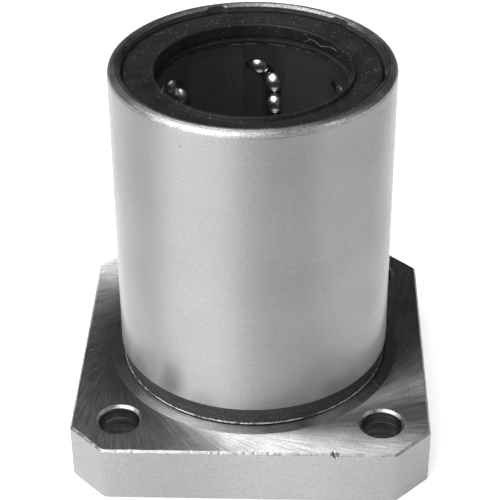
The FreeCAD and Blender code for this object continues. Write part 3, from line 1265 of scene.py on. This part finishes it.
@dataclass
class FlangedSleeve:
    """Skin of the flanged sleeve: one closed surface of turned, flat and drilled patches."""

    length: float  # height of the sleeve
    barrel_r: float  # radius of the ground barrel
    flange_side: float  # width of the square flange
    flange_t: float  # thickness of the flange
    bolt_r: float  # radius of the bolt circle
    hole: ScrewHole  # the screw holes
    across_corners: float = 74.0  # width of the flange across its corner flats
    corner_power: float = 350.0  # power that decides how sharp the outline's corners are
    edge_chamfer: float = 0.34  # width of the flange's edge chamfers
    edge_ease: float = 0.05  # rounding of their borders
    edge_support: float = 0.3  # width of the flat strip beside a chamfer
    wear: EdgeWear = EdgeWear()  # wear of the upper edge
    neck_r: float = 22.0  # radius of the neck between flange and barrel
    neck_h: float = 3.4  # height of the neck
    burr: float = 0.16  # how far the burr stands out of the neck
    burr_top: float = 0.42  # height of the burr
    burr_ease: float = 0.03  # rounding of the burr
    groove_r: float = 22.6  # outer radius of the groove round the neck's foot
    groove_depth: float = 0.3  # depth of the groove
    relief_r: float = 24.4  # outer radius of the turned relief in the flange's face
    relief_depth: float = 0.1  # depth of the relief
    shoulder_ease: float = 0.06  # rounding of the barrel's foot
    fine_ease: float = 0.04  # rounding of small turned corners
    rim_drop: float = 0.9  # how far below the end the barrel's rounding starts
    rim_shoulders: Curve = ((22.32, 0.42), (21.9, 0.13), (21.3, 0.0))  # radius and drop of its corners
    rim_ease: float = 0.12  # rounding of those corners
    bore: Bore = Bore()  # inside of the sleeve
    foot_r: float = 23.0  # radius where the lower face's flat fields start
    columns: int = 360  # points round the skin
    fine: int = 8  # points along the flange's worn edge for each column of the skin
    margin: float = 2.0  # width of the flange's rim between the faces' fields and the edge
    corner_half: int = 24  # half the columns of a corner field
    face_rows: int = 8  # rows of a side field
    hole_rows: int = 6  # rows of a corner field
    slack: float = 0.02  # tolerance of the zones' borders
    flat_from: float = 0.97  # least vertical part of the normal on a level face
    sloped_from: float = 0.3  # least vertical part of the normal on the rim
    upright_to: float = 0.1  # greatest vertical part of the normal on an upright wall

    @classmethod
    def from_frame(cls) -> "FlangedSleeve":
        """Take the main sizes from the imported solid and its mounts.

        Returns:
            The sleeve.
        """
        low, high = (np.array(corner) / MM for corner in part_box("flanged_sleeve"))
        bolts = mount("flange_bolts")["dims"]
        return cls(
            length=high[2] - low[2],
            barrel_r=mount("barrel_spigot")["dims"]["r_mm"],
            flange_side=high[0] - low[0],
            flange_t=mount("mounting_face")["pos_m"][2] / MM,
            bolt_r=bolts["pcd_mm"] / 2,
            hole=ScrewHole(bolts["hole_r_mm"]),
        )

    def turns(self) -> Array:
        """Space the columns evenly, then move the nearest ones onto the flange's eight corners.

        Returns:
            Angles about the axis, one for each column.
        """
        turn = circle(self.columns)
        side = self.flange_side / 2
        first = math.atan2(self.across_corners / math.sqrt(2) - side, side)
        corners = np.add.outer(np.arange(4) * np.pi / 2, (first, np.pi / 2 - first)).ravel()
        turn[np.rint(corners / (2 * np.pi) * self.columns).astype(int)] = corners
        return turn

    def fine_turns(self) -> Array:
        """Divide each column's step evenly for the worn edge.

        Returns:
            Angles about the axis, one for each fine column.
        """
        turn = self.turns()
        step = np.diff(turn, append=turn[0] + 2 * np.pi)
        return (turn[:, None] + step[:, None] * np.arange(self.fine) / self.fine).ravel()

    def profile(self) -> Array:
        """Return the turned outline from the flange's face over the barrel and down the bore.

        Returns:
            Array of shape (rows, 2) with radius and height.
        """
        top, ring = self.flange_t, self.flange_t - self.relief_depth
        floor = top - self.groove_depth
        neck_top = top + self.neck_h
        shoulder = (self.barrel_r - self.neck_r) / 2
        outside = [
            (self.relief_r, top, 0),
            (self.relief_r - self.relief_depth, ring, 0),
            (self.groove_r, ring, self.fine_ease),
            (self.groove_r - self.groove_depth, floor, self.fine_ease),
            (self.neck_r, floor, 0),
            (self.neck_r, top, 0),
            (self.neck_r + self.burr, top + 0.5 * self.burr_top, self.burr_ease),
            (self.neck_r, top + self.burr_top, 0),
            (self.neck_r, neck_top - shoulder, 0),
            (self.barrel_r, neck_top, self.shoulder_ease),
            (self.barrel_r, self.length - self.rim_drop, self.rim_ease),
            *((radius, self.length - drop, self.rim_ease) for radius, drop in self.rim_shoulders),
        ]
        return eased(np.array(outside + self.bore.corners(self.length) + [(self.foot_r, 0, 0)], float))

    def turned_patch(self) -> Patch:
        """Turn the barrel, neck, rim and bore, and cut the return grooves into the bore and its seats.

        Returns:
            The turned patch.
        """
        profile, turn = self.profile(), self.turns()
        radius = np.repeat(profile[:, :1], self.columns, axis=1)
        height = np.repeat(profile[:, 1:], self.columns, axis=1)
        walls = np.broadcast_to(self.bore.groove_walls(turn), radius.shape)
        seats = np.abs(height - self.length / 2) > self.bore.seat_bottom - self.length / 2
        walls = np.where(seats, np.minimum(walls, self.bore.notch_r), walls)
        inside = radius < self.bore.ring_groove_r - self.slack
        radius = np.where(inside, np.maximum(radius, walls), radius)
        return revolved(np.stack([radius, height], axis=-1), turn)

    def outline(self, turn: Array, inset: float | Array = 0.0) -> Array:
        """Return the flange's outline: a square with flat corners and slightly rounded edges.

        Eight straight sides at distance d_k in direction t_k give r = (sum (cos(t - t_k) / d_k)^p)^(-1/p),
        which follows the nearest side and rounds the corners.

        Args:
            turn: Angles about the axis.
            inset: How far the outline is drawn in.

        Returns:
            Radius of the outline at each angle.
        """
        sides = np.arange(8)
        distance = np.where(sides % 2 == 0, self.flange_side, self.across_corners) / 2
        reach = distance - np.asarray(inset)[..., None]
        facing = np.maximum(np.cos(np.asarray(turn)[..., None] - sides * np.pi / 4), 0)
        nearest = (facing / reach).max(axis=-1, keepdims=True)
        total = ((facing / reach / nearest) ** self.corner_power).sum(axis=-1)
        return total ** (-1 / self.corner_power) / nearest[..., 0]

    def hole_centre(self, corner: int) -> Array:
        """Return the place of one corner's screw hole."""
        angle = (corner + 0.5) * np.pi / 2
        return self.bolt_r * np.array([math.cos(angle), math.sin(angle)])

    def face_patches(self, height: float, start_r: float, hole_r: float) -> tuple[list[Patch], list[Array]]:
        """Cover one flange face: four side fields, and four corner fields with a hole in each.

        A side field runs along rays from the start circle to the outline. A corner field runs from its
        border to the hole's rim, towards the hole's centre.

        Args:
            height: Height of the face.
            start_r: Radius where the turned part ends.
            hole_r: Radius of the hole's rim in this face.

        Returns:
            The patches, and the angles of the points on each hole's rim.
        """
        turn, half, quarter = self.turns(), self.corner_half, self.columns // 4
        share = np.linspace(0, 1, self.face_rows)[:, None]

        def rays(first: int, last: int) -> Array:
            """Run rays from the start circle to the outline.

            Args:
                first: Number of the first column.
                last: Number of the last column.

            Returns:
                Array of shape (rows, columns, 2).
            """
            angle = turn[np.arange(first, last + 1) % self.columns]
            radius = start_r + share * (self.outline(angle, self.margin) - start_r)
            return radius[..., None] * np.stack([np.cos(angle), np.sin(angle)], axis=-1)

        patches, rims = [], []
        for corner in range(4):
            diagonal = corner * quarter + quarter // 2
            side = rays(diagonal + half, diagonal + quarter - half)
            patches.append(Patch(np.dstack([side, np.full(side.shape[:2], height)]), closed=False))
            field = rays(diagonal - half, diagonal + half)
            border = np.vstack([field[0, ::-1], field[1:, 0], field[-1, 1:], field[-2:0:-1, -1]])
            centre = self.hole_centre(corner)
            bearing = np.unwrap(np.arctan2(*(border - centre).T[::-1]))
            rim = centre + hole_r * np.stack([np.cos(bearing), np.sin(bearing)], axis=-1)
            blend = np.linspace(0, 1, self.hole_rows)[:, None, None]
            rings = (1 - blend) * border + blend * rim
            patches.append(Patch(np.dstack([rings, np.full(rings.shape[:2], height)])))
            rims.append(bearing)
        return patches, rims

    def upper_edge(self) -> Patch:
        """Carry an (inset, depth) profile of the upper edge round the outline, and cut it back by wear.

        Returns:
            The upper half of the flange's sides.
        """
        chamfer, top, turn = self.edge_chamfer, self.flange_t, self.fine_turns()
        profile = eased(np.array([
            (chamfer + self.edge_support, 0, 0),
            (chamfer, 0, self.edge_ease),
            (0, chamfer, self.edge_ease),
            (0, top / 2, 0),
        ], float), 3)
        share = np.clip(profile / chamfer, 0, 1)
        share[-1] = 0
        face, side = self.wear.cuts(self.outline, turn, chamfer)
        inset = profile[:, :1] + share[:, :1] * face
        depth = profile[:, 1:] + share[:, 1:] * side
        return revolved(np.stack([self.outline(turn, inset), top - depth], axis=-1), turn)

    def lower_edge(self) -> Patch:
        """Carry an (inset, height) profile of the lower edge round the outline.

        Returns:
            The lower half of the flange's sides.
        """
        chamfer, turn = self.edge_chamfer, self.turns()
        profile = eased(np.array([
            (0, self.flange_t / 2 - self.edge_support, 0),
            (0, chamfer, self.edge_ease),
            (chamfer, 0, self.edge_ease),
            (self.margin, 0, 0),
        ], float))
        height = np.repeat(profile[:, 1:], self.columns, axis=1)
        return revolved(np.stack([self.outline(turn, profile[:, :1]), height], axis=-1), turn)

    def edge_patches(self) -> list[Patch | Seam]:
        """Build the flange's sides.

        Returns:
            The worn upper edge, the lower edge, and the seams that join them.
        """
        upper, lower, turn = self.upper_edge(), self.lower_edge(), self.turns()
        border = np.stack([self.outline(turn, self.margin), np.full(self.columns, self.flange_t)], axis=-1)
        rim = revolved(border[None], turn).points[0]
        return [upper, lower, Seam(rim, upper.points[0]), Seam(lower.points[0], upper.points[-1])]

    def zones(self, mesh: bpy.types.Mesh) -> NDArray[np.int32]:
        """Choose the zone of each face by where it lies and how far it leans.

        Args:
            mesh: The welded skin.

        Returns:
            Material index of each face.
        """
        centre, normal = np.empty((2, len(mesh.polygons) * 3))
        mesh.polygons.foreach_get("center", centre)
        mesh.polygons.foreach_get("normal", normal)
        east, north, height = centre.reshape(-1, 3).T / MM
        level = np.abs(normal.reshape(-1, 3)[:, 2])
        flat, sloped, upright = level >= self.flat_from, level > self.sloped_from, level < self.upright_to
        radius = np.hypot(east, north)
        offset = self.bolt_r / math.sqrt(2)
        hole = np.hypot(np.abs(east) - offset, np.abs(north) - offset)
        above_step = height > self.hole.counterbore_depth
        in_hole = hole < np.where(above_step, self.hole.mouth_r, self.hole.foot_r)
        wall = upright | (height < self.flange_t - self.hole.chamfer)
        # The deep nick's pit takes the dark hole finish: painted shade in the hollow.
        spot = math.radians(self.wear.deep_nick[0])
        at = self.outline(np.array([spot]))[0]
        away = np.hypot(east - at * math.cos(spot), north - at * math.sin(spot))
        pit = np.hypot(away, height - self.flange_t) < self.wear.pit_r
        outside = radius > (self.bore.ring_groove_r + self.neck_r) / 2
        flange = outside & (height < self.flange_t + self.slack)
        in_groove = radius < self.groove_r - self.groove_depth
        neck_foot = self.flange_t + np.where(in_groove, self.slack - self.groove_depth, 2 * self.slack)
        rim = sloped & (height > self.length - self.rim_drop)
        cone = rim & (height > self.length - self.bore.cone)
        tests = {
            Zone.CONE: cone & (radius < self.bore.rim_r - 3 * self.slack),
            Zone.RIM: rim & (radius > self.bore.seat_r + self.slack),
            Zone.BARREL: outside & (height > self.flange_t + self.neck_h - self.slack),
            Zone.NECK: outside & (height > neck_foot),
            Zone.RELIEF: outside & (radius < self.relief_r) & (height > self.flange_t / 2),
            Zone.HOLE: pit & ~flat | in_hole & wall,
            Zone.EDGE: flange & ~upright & ~flat,
            Zone.FACE: flat & (flange | (height < self.slack)),
            Zone.SIDE: flange,
        }
        chosen = np.select(list(tests.values()), [zone.value for zone in tests], Zone.BORE.value)
        return chosen.astype(np.int32)

    def finishes(self) -> dict[Zone, Finish]:
        """Choose the finish of each zone.

        Returns:
            Finishes by zone, in the order of the material slots.
        """
        turned = {"anisotropy": 0.55, "spread": Spread.RADIAL, "ring_tone": 0.05, "grain_scale": 3600.0}
        dark_line_z = self.length - self.rim_drop + 0.05  # just over the foot of the rim's rounding
        seat_burr_z = self.length - 1.0  # in the upper seal's seat, below the chamfer
        return {
            Zone.BARREL: GroundSteel(
                "ground_barrel", level=0.328, roughness=0.5, relief=0.0012, anisotropy=0.9,
                # Painted light: the barrel is paler towards its foot.
                spread=Spread.UPRIGHT, oil=0.7, painted_foot_light=0.15,
                # Spots of painted shade near the barrel's foot: dark reflections of the flange and its holes.
                painted_shade_spots=(
                    (-12.3, -18.8, 17.4), (-12.7, -18.6, 15.0), (-12.9, -18.4, 13.2), (-18.3, -13.1, 14.6),
                    (-7.5, -21.2, 13.4), (13.2, -18.2, 14.6), (15.9, -15.9, 14.0),
                ),
                scratches=(
                    Scratch(angle=-38.5, level=56.7, lean=-54.5, length=4.8, dark=-0.3),
                    Scratch(angle=-32.4, level=60.9, lean=-42.0, length=2.4, dark=-0.3),
                    Scratch(angle=-116.5, level=29.4, lean=-38.0, length=7.5, dark=0.2),
                ),
            ),
            Zone.RIM: TurnedSteel(
                "turned_rim", level=0.44, roughness=0.46, relief=0.006, speckle=0.22,
                dark_line_spot=(-13.0, -17.6, dark_line_z), **turned,
            ),
            # The band below the neck's burr is painted shade in the groove round the neck's foot.
            Zone.NECK: DarkSteel(
                "dark_neck", level=0.06, roughness=0.5, metallic=0.6, relief=0.01, burr_level=0.6,
                burr_z=self.flange_t + 0.5 * self.burr_top,
            ),
            Zone.RELIEF: TurnedSteel(
                "turned_relief", level=0.38, roughness=0.48, anisotropy=0.82, spread=Spread.RADIAL,
                ring_tone=0.12, speckle=0.08,
            ),
            Zone.FACE: BrushedFace(
                "brushed_face", level=0.54, roughness=0.51, relief=0.013, anisotropy=0.95,
                spread=Spread.ACROSS_BRUSH,
            ),
            Zone.SIDE: GroundSteel(
                "milled_side", level=0.365, roughness=0.5, line_tone=0.09, lines=(240.0, 240.0, 2600.0),
                pits=Scatter(scale=600.0, share=0.12, size=0.16),
                # Two large spots of painted shade on the flange's sides, at the front and the right corner.
                painted_shade_spots=((-13.0, -29.0, 5.0), (26.0, -26.0, 4.0)), painted_shade_size=17.0, painted_shade_share=0.16,
            ),
            Zone.EDGE: WornEdge("worn_edge", level=0.47, roughness=0.38, relief=0.001),
            # The holes' low grey level is painted shade inside them.
            Zone.HOLE: DrilledSteel("drilled_hole", level=0.085, roughness=0.42, relief=0.012),
            # The band below the seat's burr is painted shade in the gap beside the upper seal.
            Zone.BORE: DarkSteel(
                "bored_steel", level=0.06, roughness=0.55, metallic=0.5, relief=0.004, glow=0.006,
                burr_z=seat_burr_z, burr_level=0.1, burr=replace(DarkSteel.burr, inner=0.04, outer=0.08),
            ),
            # A darker copy of the rim's finish: its lower grey level is painted shade.
            Zone.CONE: TurnedSteel(
                "turned_chamfer", level=0.25, roughness=0.46, relief=0.009, speckle=0.3, **turned,
            ),
        }

    def build(self) -> Piece:
        """Build the skin and give each zone its finish.

        Returns:
            The sleeve's skin, which replaces the plain solid.
        """
        above, upper = self.face_patches(self.flange_t, self.relief_r, self.hole.rim_r)
        below, lower = self.face_patches(0.0, self.foot_r, self.hole.foot_r)
        holes = [
            self.hole.patch(self.hole_centre(corner), self.flange_t, upper[corner], lower[corner])
            for corner in range(4)
        ]
        skin = write_mesh("sleeve_skin", [self.turned_patch(), *self.edge_patches(), *above, *below, *holes])
        for finish in self.finishes().values():
            skin.data.materials.append(finish.material())
        skin.data.polygons.foreach_set("material_index", self.zones(skin.data))
        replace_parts(skin, "flanged_sleeve")
        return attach(skin, "sleeve")


@dataclass
class EndSeal:
    """Rubber end seal: recessed face with a rounded edge, a bead round the bore and a wiping lip."""

    upper: bool  # whether it is the seal at the free end of the barrel
    face_r: float = 20.4  # radius of the seal
    hub_r: float = 17.5  # radius of the hub behind the face
    bore_r: float = 15.25  # radius of the bore
    bead_r: float = 15.95  # outer radius of the bead round the bore
    bead_h: float = 0.14  # height of the bead
    bead_foot: float = 0.18  # width of the bead's outer slope
    step_r: float = 17.2  # radius of the soft step in the face
    step_h: float = 0.06  # height of the step
    step_w: float = 0.3  # width of the step
    hub_h: float = 0.9  # height of the hub
    lip_z: Pair = (0.25, 0.85)  # lower and upper height of the wiping lip over the hub's back
    lip_groove_r: float = 15.5  # radius of the groove over the lip
    lip_groove_h: float = 0.7  # height of that groove
    lip_slope: float = 0.12  # height of the slope from the lip into the groove
    flash_h: float = 0.05  # height of the moulding flash over the hub's back
    gap: Pair = (0.4, 0.6)  # width and depth of the gap round the face
    dish: float = 0.1  # how steeply the face falls towards the bead
    bevel: float = 0.1  # bevel at the bore's upper edge
    soft: float = 0.1  # rounding of the seal's outer corners
    crisp: float = 0.05  # rounding of the bead, the bore and the lip
    columns: int = 300  # points round the seal

    def flash_z(self) -> float:
        """Return the height of the moulding flash."""
        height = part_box("upper_seal")[0][2] / MM + self.flash_h
        return height if self.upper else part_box("flanged_sleeve")[1][2] / MM - height

    def face_corners(self, face: float) -> list[Point]:
        """List the corners across the dished face, from edge to bead.

        Args:
            face: Height of the face's edge.

        Returns:
            Radius, height and rounding of each corner.
        """
        edge_r = self.face_r - self.gap[0]
        step, dip = (face - self.dish * (edge_r - radius) for radius in (self.step_r, self.bead_r))
        return [
            (edge_r, face, self.soft),
            (self.step_r + self.step_w, step, self.step_h),
            (self.step_r, step - self.step_h, self.step_h),
            (self.bead_r + self.bead_foot, dip - self.step_h, 0.5 * self.step_h),
            (self.bead_r, face + self.bead_h, self.crisp),
            (self.bore_r + self.bevel, face + self.bead_h, self.crisp),
        ]

    def surface(self, radius: Array) -> Array:
        """Find the upper seal's height along straight lines between its corners.

        Args:
            radius: Distances from the axis.

        Returns:
            Height at each distance.
        """
        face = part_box("upper_seal")[1][2] / MM - self.bead_h
        across, height, _ = np.array(self.face_corners(face))[::-1].T
        return np.interp(radius, across, height)

    def profile(self, foot: float, face: float, shaft_r: float) -> Array:
        """Return the seal's closed outline as radius and height.

        Args:
            foot: Height of the hub's back.
            face: Height of the outer face.
            shaft_r: Radius of the wiping lip.

        Returns:
            Array of shape (rows, 2), with its last point on its first.
        """
        lip_low, lip_high = foot + self.lip_z[0], foot + self.lip_z[1]
        groove_top = lip_high + self.lip_groove_h
        corners = [
            (self.hub_r, foot, 0),
            (self.hub_r, foot + self.hub_h, 0),
            (self.face_r, foot + self.hub_h, 0),
            (self.face_r, face - self.gap[1], self.soft),
            *self.face_corners(face),
            (self.bore_r, face - self.bevel, 0.8 * self.crisp),
            (self.bore_r, groove_top, self.crisp),
            (self.lip_groove_r, groove_top - self.lip_z[0], self.crisp),
            (self.lip_groove_r, lip_high + self.lip_slope, 0.8 * self.crisp),
            (shaft_r, lip_high, 0.6 * self.crisp),
            (shaft_r, lip_low, self.crisp),
            (shaft_r + self.lip_z[0], foot, 0),
            (self.hub_r, foot, 0),
        ]
        return eased(np.array(corners, float))

    def build(self, finish: Material) -> Piece:
        """Build the seal.

        Args:
            finish: Rubber material, shared by both seals.

        Returns:
            The seal, which replaces its plain solid.
        """
        node = "upper_seal" if self.upper else "lower_seal"
        low, high = (np.array(corner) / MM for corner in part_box("upper_seal"))
        profile = self.profile(low[2], high[2] - self.bead_h, mount("shaft_bore")["dims"]["r_mm"])
        if not self.upper:
            whole = np.array(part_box("flanged_sleeve")[1]) / MM
            profile = profile * (1, -1) + (0, whole[2])
        piece = write_mesh(node + "_rubber", [revolved(profile, circle(self.columns))])
        piece.data.materials.append(finish)
        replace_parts(piece, node)
        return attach(piece, "sleeve")


@dataclass
class BallGroup:
    """Balls of one straight row or half turn, as smooth spheres on their own body."""

    node: str  # CAD node of the group, which is its body too
    count: int  # number of balls in it
    cells: int = 4  # quads along one edge of the cube that a ball is blown up from

    def unit_ball(self) -> tuple[Array, NDArray[np.int64]]:
        """Blow a cube up to a unit ball: (tan u, tan v, 1), turned to six sides and set to length 1.

        Returns:
            Points and quads of the ball.
        """
        step = np.tan(np.linspace(-np.pi / 4, np.pi / 4, self.cells + 1))
        across, up = np.meshgrid(step, step)
        side = np.stack([across, up, np.ones_like(up)], axis=-1).reshape(-1, 3)
        side /= np.linalg.norm(side, axis=1, keepdims=True)
        turned = [np.roll(side, shift, axis=1) for shift in range(3)]
        flipped = [-part for part in turned]
        points = np.vstack(turned + flipped)
        grid = Patch(np.empty((self.cells + 1, self.cells + 1, 3)), closed=False)
        quads = np.vstack([grid.faces(number * len(side)) for number in range(6)])
        return points, quads

    def build(self, finish: Material) -> Piece:
        """Build the group where its solids are.

        Args:
            finish: Polished material, shared by all balls.

        Returns:
            The balls, which replace the plain solids.
        """
        solids = mesh_points(frame["nodes"][self.node].data).reshape(self.count, -1, 3)
        low, high = solids.min(axis=1), solids.max(axis=1)
        centres, radius = (low + high) / 2, (high - low).max() / 2
        points, quads = self.unit_ball()
        every = centres[:, None] + radius * points
        numbers = np.arange(self.count)[:, None, None] * len(points) + quads
        mesh = bpy.data.meshes.new(self.node + "_balls")
        mesh.from_pydata((every.reshape(-1, 3) * MM).tolist(), [], numbers.reshape(-1, 4).tolist())
        piece = finished(self.node + "_balls", mesh, sharp=180.0)
        outward = mesh_points(mesh)[:, None] - centres
        nearest = np.linalg.norm(outward, axis=-1).argmin(axis=1)
        mesh.normals_split_custom_set_from_vertices(outward[np.arange(len(outward)), nearest] / radius)
        piece.data.materials.append(finish)
        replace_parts(piece, self.node)
        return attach(piece, self.node)


@dataclass
class Lint:
    """Fine pale fibres on the upper seal, on the wall of its bore and on the flange's face."""

    # Curves on the seal's face, each as four points (x, y).
    on_seal: tuple[Curve, ...] = (
        ((-12.5, 9.7), (-12.4, 13.4), (-11.8, 9.9), (-11.0, 13.7)),
        ((-13.3, -6.5), (-13.3, -7.2), (-13.4, -7.8), (-13.5, -8.5)),
        ((18.7, 0.6), (18.9, -0.7), (19.4, -0.4), (19.6, 0.8)),
    )
    # Curves on the wall of the seal's bore, each as four points (angle in degrees, height).
    on_wall: tuple[Curve, ...] = (
        ((57.6, 61.0), (54.3, 62.2), (49.5, 61.8), (46.6, 61.2)),
        ((46.6, 61.2), (41.8, 61.6), (37.0, 62.2), (30.3, 62.0)),
    )
    # Curves on the flange's face, each as four points (x, y).
    on_flange: tuple[Curve, ...] = (
        ((19.9, -9.9), (20.3, -10.5), (20.8, -11.6), (21.3, -12.4)),
        ((15.6, -15.7), (16.1, -15.3), (17.0, -15.5), (18.2, -16.7)),
        ((-28.3, -2.4), (-27.8, -4.4), (-27.2, -0.8), (-26.4, -3.4)),
        ((-28.2, -11.0), (-27.6, -9.2), (-27.0, -9.4), (-26.2, -7.6)),
    )
    radius: float = 0.04  # radius of a fibre
    rows: int = 24  # points along a fibre

    def curve(self, points: Curve) -> Array:
        """Follow the cubic curve (1-u)^3 a + 3u(1-u)^2 b + 3u^2(1-u) c + u^3 d.

        Args:
            points: The curve's points a, b, c and d.

        Returns:
            Array of shape (rows, 2).
        """
        share = np.linspace(0, 1, self.rows)
        rest = 1 - share
        weights = np.stack([rest**3, 3 * share * rest**2, 3 * share**2 * rest, share**3], axis=1)
        return weights @ np.array(points)

    def paths(self, seal: EndSeal, flange_t: float) -> list[Array]:
        """Lay each curve on its surface, a fibre's radius above it.

        Args:
            seal: The upper seal.
            flange_t: Height of the flange's face.

        Returns:
            One array of shape (rows, 3) for each fibre.
        """
        laid = []
        for flat in map(self.curve, self.on_seal):
            laid.append(np.column_stack([flat, seal.surface(np.hypot(*flat.T)) + self.radius]))
        for angle, height in (self.curve(points).T for points in self.on_wall):
            turn, reach = np.radians(angle), seal.bore_r - self.radius
            laid.append(np.stack([reach * np.cos(turn), reach * np.sin(turn), height], axis=1))
        for flat in map(self.curve, self.on_flange):
            laid.append(np.column_stack([flat, np.full(self.rows, flange_t + self.radius)]))
        return laid

    def build(self, seal: EndSeal, flange_t: float) -> Piece:
        """Build the fibres as one piece.

        Args:
            seal: The upper seal.
            flange_t: Height of the flange's face.

        Returns:
            The fibres.
        """
        piece = write_mesh("lint", [tube(path, self.radius) for path in self.paths(seal, flange_t)])
        piece.data.materials.append(Cloudy("lint", level=0.22, roughness=0.9, metallic=0.0).material())
        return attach(piece, "sleeve")


# Studio


@dataclass(frozen=True)
class Softbox:
    """A soft rectangular light that faces the bearing."""

    name: str  # name of the light
    spot: Point  # its place, in millimetres
    size: Pair  # its width and height
    watts: float  # its power

    def hang(self, target: Vector) -> None:
        """Hang the light.

        Args:
            target: Point that it faces, in millimetres.
        """
        data = bpy.data.lights.new(self.name, "AREA")
        data.shape = "RECTANGLE"
        data.size, data.size_y = (part * MM for part in self.size)
        data.energy = self.watts
        lamp = bpy.data.objects.new(self.name, data)
        lamp.location = Vector(self.spot) * MM
        lamp.rotation_mode = "QUATERNION"
        lamp.rotation_quaternion = (target - Vector(self.spot)).to_track_quat("-Z", "Y")
        bpy.context.scene.collection.objects.link(lamp)


@dataclass
class Studio:
    """Pale floor, soft lights, dim surroundings and the camera of the photograph."""

    azimuth: float = 1.788  # camera's angle round the bearing from the -Y side, in degrees
    elevation: float = 33.289  # camera's angle above the floor, in degrees
    distance: float = 266.98  # camera's distance from the target
    target_z: float = 32.0  # height of the point that the camera turns about
    roll: float = -0.276  # camera's turn about its own axis, in degrees
    focal: float = 3.2386  # focal length in image widths
    shift: Pair = (-0.0068, -0.0294)  # shift of the image, in image widths
    sensor: float = 36.0  # width of the sensor
    floor_half: float = 3000.0  # half the floor's width
    backdrop: float = 0.9  # grey level of the surroundings as the camera sees them
    gloom: float = 0.05  # grey level of the surroundings as the steel mirrors them
    # The lights.
    softboxes: tuple[Softbox, ...] = (
        Softbox("left_key", spot=(-323, -359, 435), size=(640, 640), watts=4.8),
        Softbox("overhead", spot=(-190, 30, 620), size=(380, 380), watts=2.3),
        Softbox("right_fill", spot=(520, -160, 260), size=(500, 500), watts=0.38),
        Softbox("right_spark", spot=(330, -60, 480), size=(90, 90), watts=0.3),
    )

    def camera(self) -> None:
        """Place the camera and make it the scene's own."""
        data = bpy.data.cameras.new("camera")
        data.sensor_width = self.sensor
        data.lens = self.focal * self.sensor
        data.shift_x, data.shift_y = self.shift
        turn, lift, roll = (math.radians(angle) for angle in (self.azimuth, self.elevation, self.roll))
        back = Vector((math.sin(turn) * math.cos(lift), -math.cos(turn) * math.cos(lift), math.sin(lift)))
        level = (-back).cross(Vector((0, 0, 1))).normalized()
        upright = level.cross(-back)
        right = level * math.cos(roll) + upright * math.sin(roll)
        up = upright * math.cos(roll) - level * math.sin(roll)
        spot = Vector((0, 0, self.target_z)) + back * self.distance
        camera = bpy.data.objects.new("camera", data)
        camera.matrix_world = Matrix.Translation(spot * MM) @ Matrix((right, up, back)).transposed().to_4x4()
        bpy.context.scene.collection.objects.link(camera)
        bpy.context.scene.camera = camera

    def floor(self) -> None:
        """Lay the pale, faintly glowing floor under the bearing."""
        half = self.floor_half
        corner = np.array([[(-half, -half, 0), (half, -half, 0)], [(-half, half, 0), (half, half, 0)]], float)
        floor = write_mesh("floor", [Patch(corner, closed=False)])
        paper = Cloudy(
            "pale_floor", level=0.9, roughness=0.85, metallic=0.0, relief=0.02, glow=0.6,
            grain_scale=900.0, cloud_scale=12.0, dim=0.985,
        )
        floor.data.materials.append(paper.material())

    def surroundings(self) -> None:
        """Make the surroundings pale to the camera and dim in reflections."""
        world = bpy.data.worlds.new("surroundings")
        world.use_nodes = True
        world.node_tree.nodes.clear()
        graph = Graph(world.node_tree)
        dim = graph.add("Background", {0: grey(self.gloom)}).outputs[0]
        pale = graph.add("Background", {0: grey(self.backdrop)}).outputs[0]
        seen = graph.add("LightPath").outputs["Is Camera Ray"]
        graph.add("OutputWorld", {0: graph.add("MixShader", {0: seen, 1: dim, 2: pale}).outputs[0]})
        bpy.context.scene.world = world

    def build(self) -> None:
        """Set up camera, floor, lights and surroundings."""
        self.camera()
        self.floor()
        for softbox in self.softboxes:
            softbox.hang(Vector((0, 0, self.target_z)))
        self.surroundings()
        bpy.context.scene.view_settings.view_transform = "Standard"


# Whole bearing


def redress(piece: Piece, finish: Material) -> Piece:
    """Give a piece one finish in place of what it had.

    Args:
        piece: Piece to dress.
        finish: Its new material.

    Returns:
        The same piece.
    """
    piece.data.materials.clear()
    piece.data.materials.append(finish)
    return piece


def main() -> None:
    """Build the bearing's pieces in order, then the studio."""
    logging.basicConfig(level=logging.INFO, format="%(name)s: %(message)s")
    sleeve = FlangedSleeve.from_frame()
    pieces = [sleeve.build()]
    seals = [EndSeal(upper) for upper in (True, False)]
    rubber = Moulding(
        "seal_rubber", level=0.008, roughness=0.52, metallic=0.0, specular=0.38, relief=0.008, glow=0.001,
        flash_z=tuple(seal.flash_z() for seal in seals),
    ).material()
    pieces += [seal.build(rubber) for seal in seals]
    resin = Moulding(
        "cage_resin", level=0.012, roughness=0.75, metallic=0.0, specular=0.08, relief=0.006, glow=0.008,
        dust=Scatter(scale=2900.0, share=0.012, size=0.4),
        flecks=Scatter(scale=1000.0, share=0.00456, size=0.16),
    ).material()
    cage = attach(merged_copy("ball_cage", "cage_moulding"), "sleeve")
    pieces.append(redress(cage, resin))
    spring = TurnedSteel("spring_steel", level=0.2, roughness=0.35, ring_tone=0.15).material()
    for node in ("upper_retaining_ring", "lower_retaining_ring"):
        redress(frame["nodes"][node], spring)
    polish = PolishedBall("polished_ball", level=0.72, roughness=0.27, relief=0.0001).material()
    for number in range(1, CIRCUITS + 1):
        pieces += [BallGroup(f"{kind}_{number}", count).build(polish) for kind, count in BALLS.items()]
    pieces.append(Lint().build(seals[0], sleeve.flange_t))
    for piece in pieces:
        LOG.info("%s: %d faces", piece.name, len(piece.data.polygons))
    Studio().build()


if __name__ == "__main__":
    main()
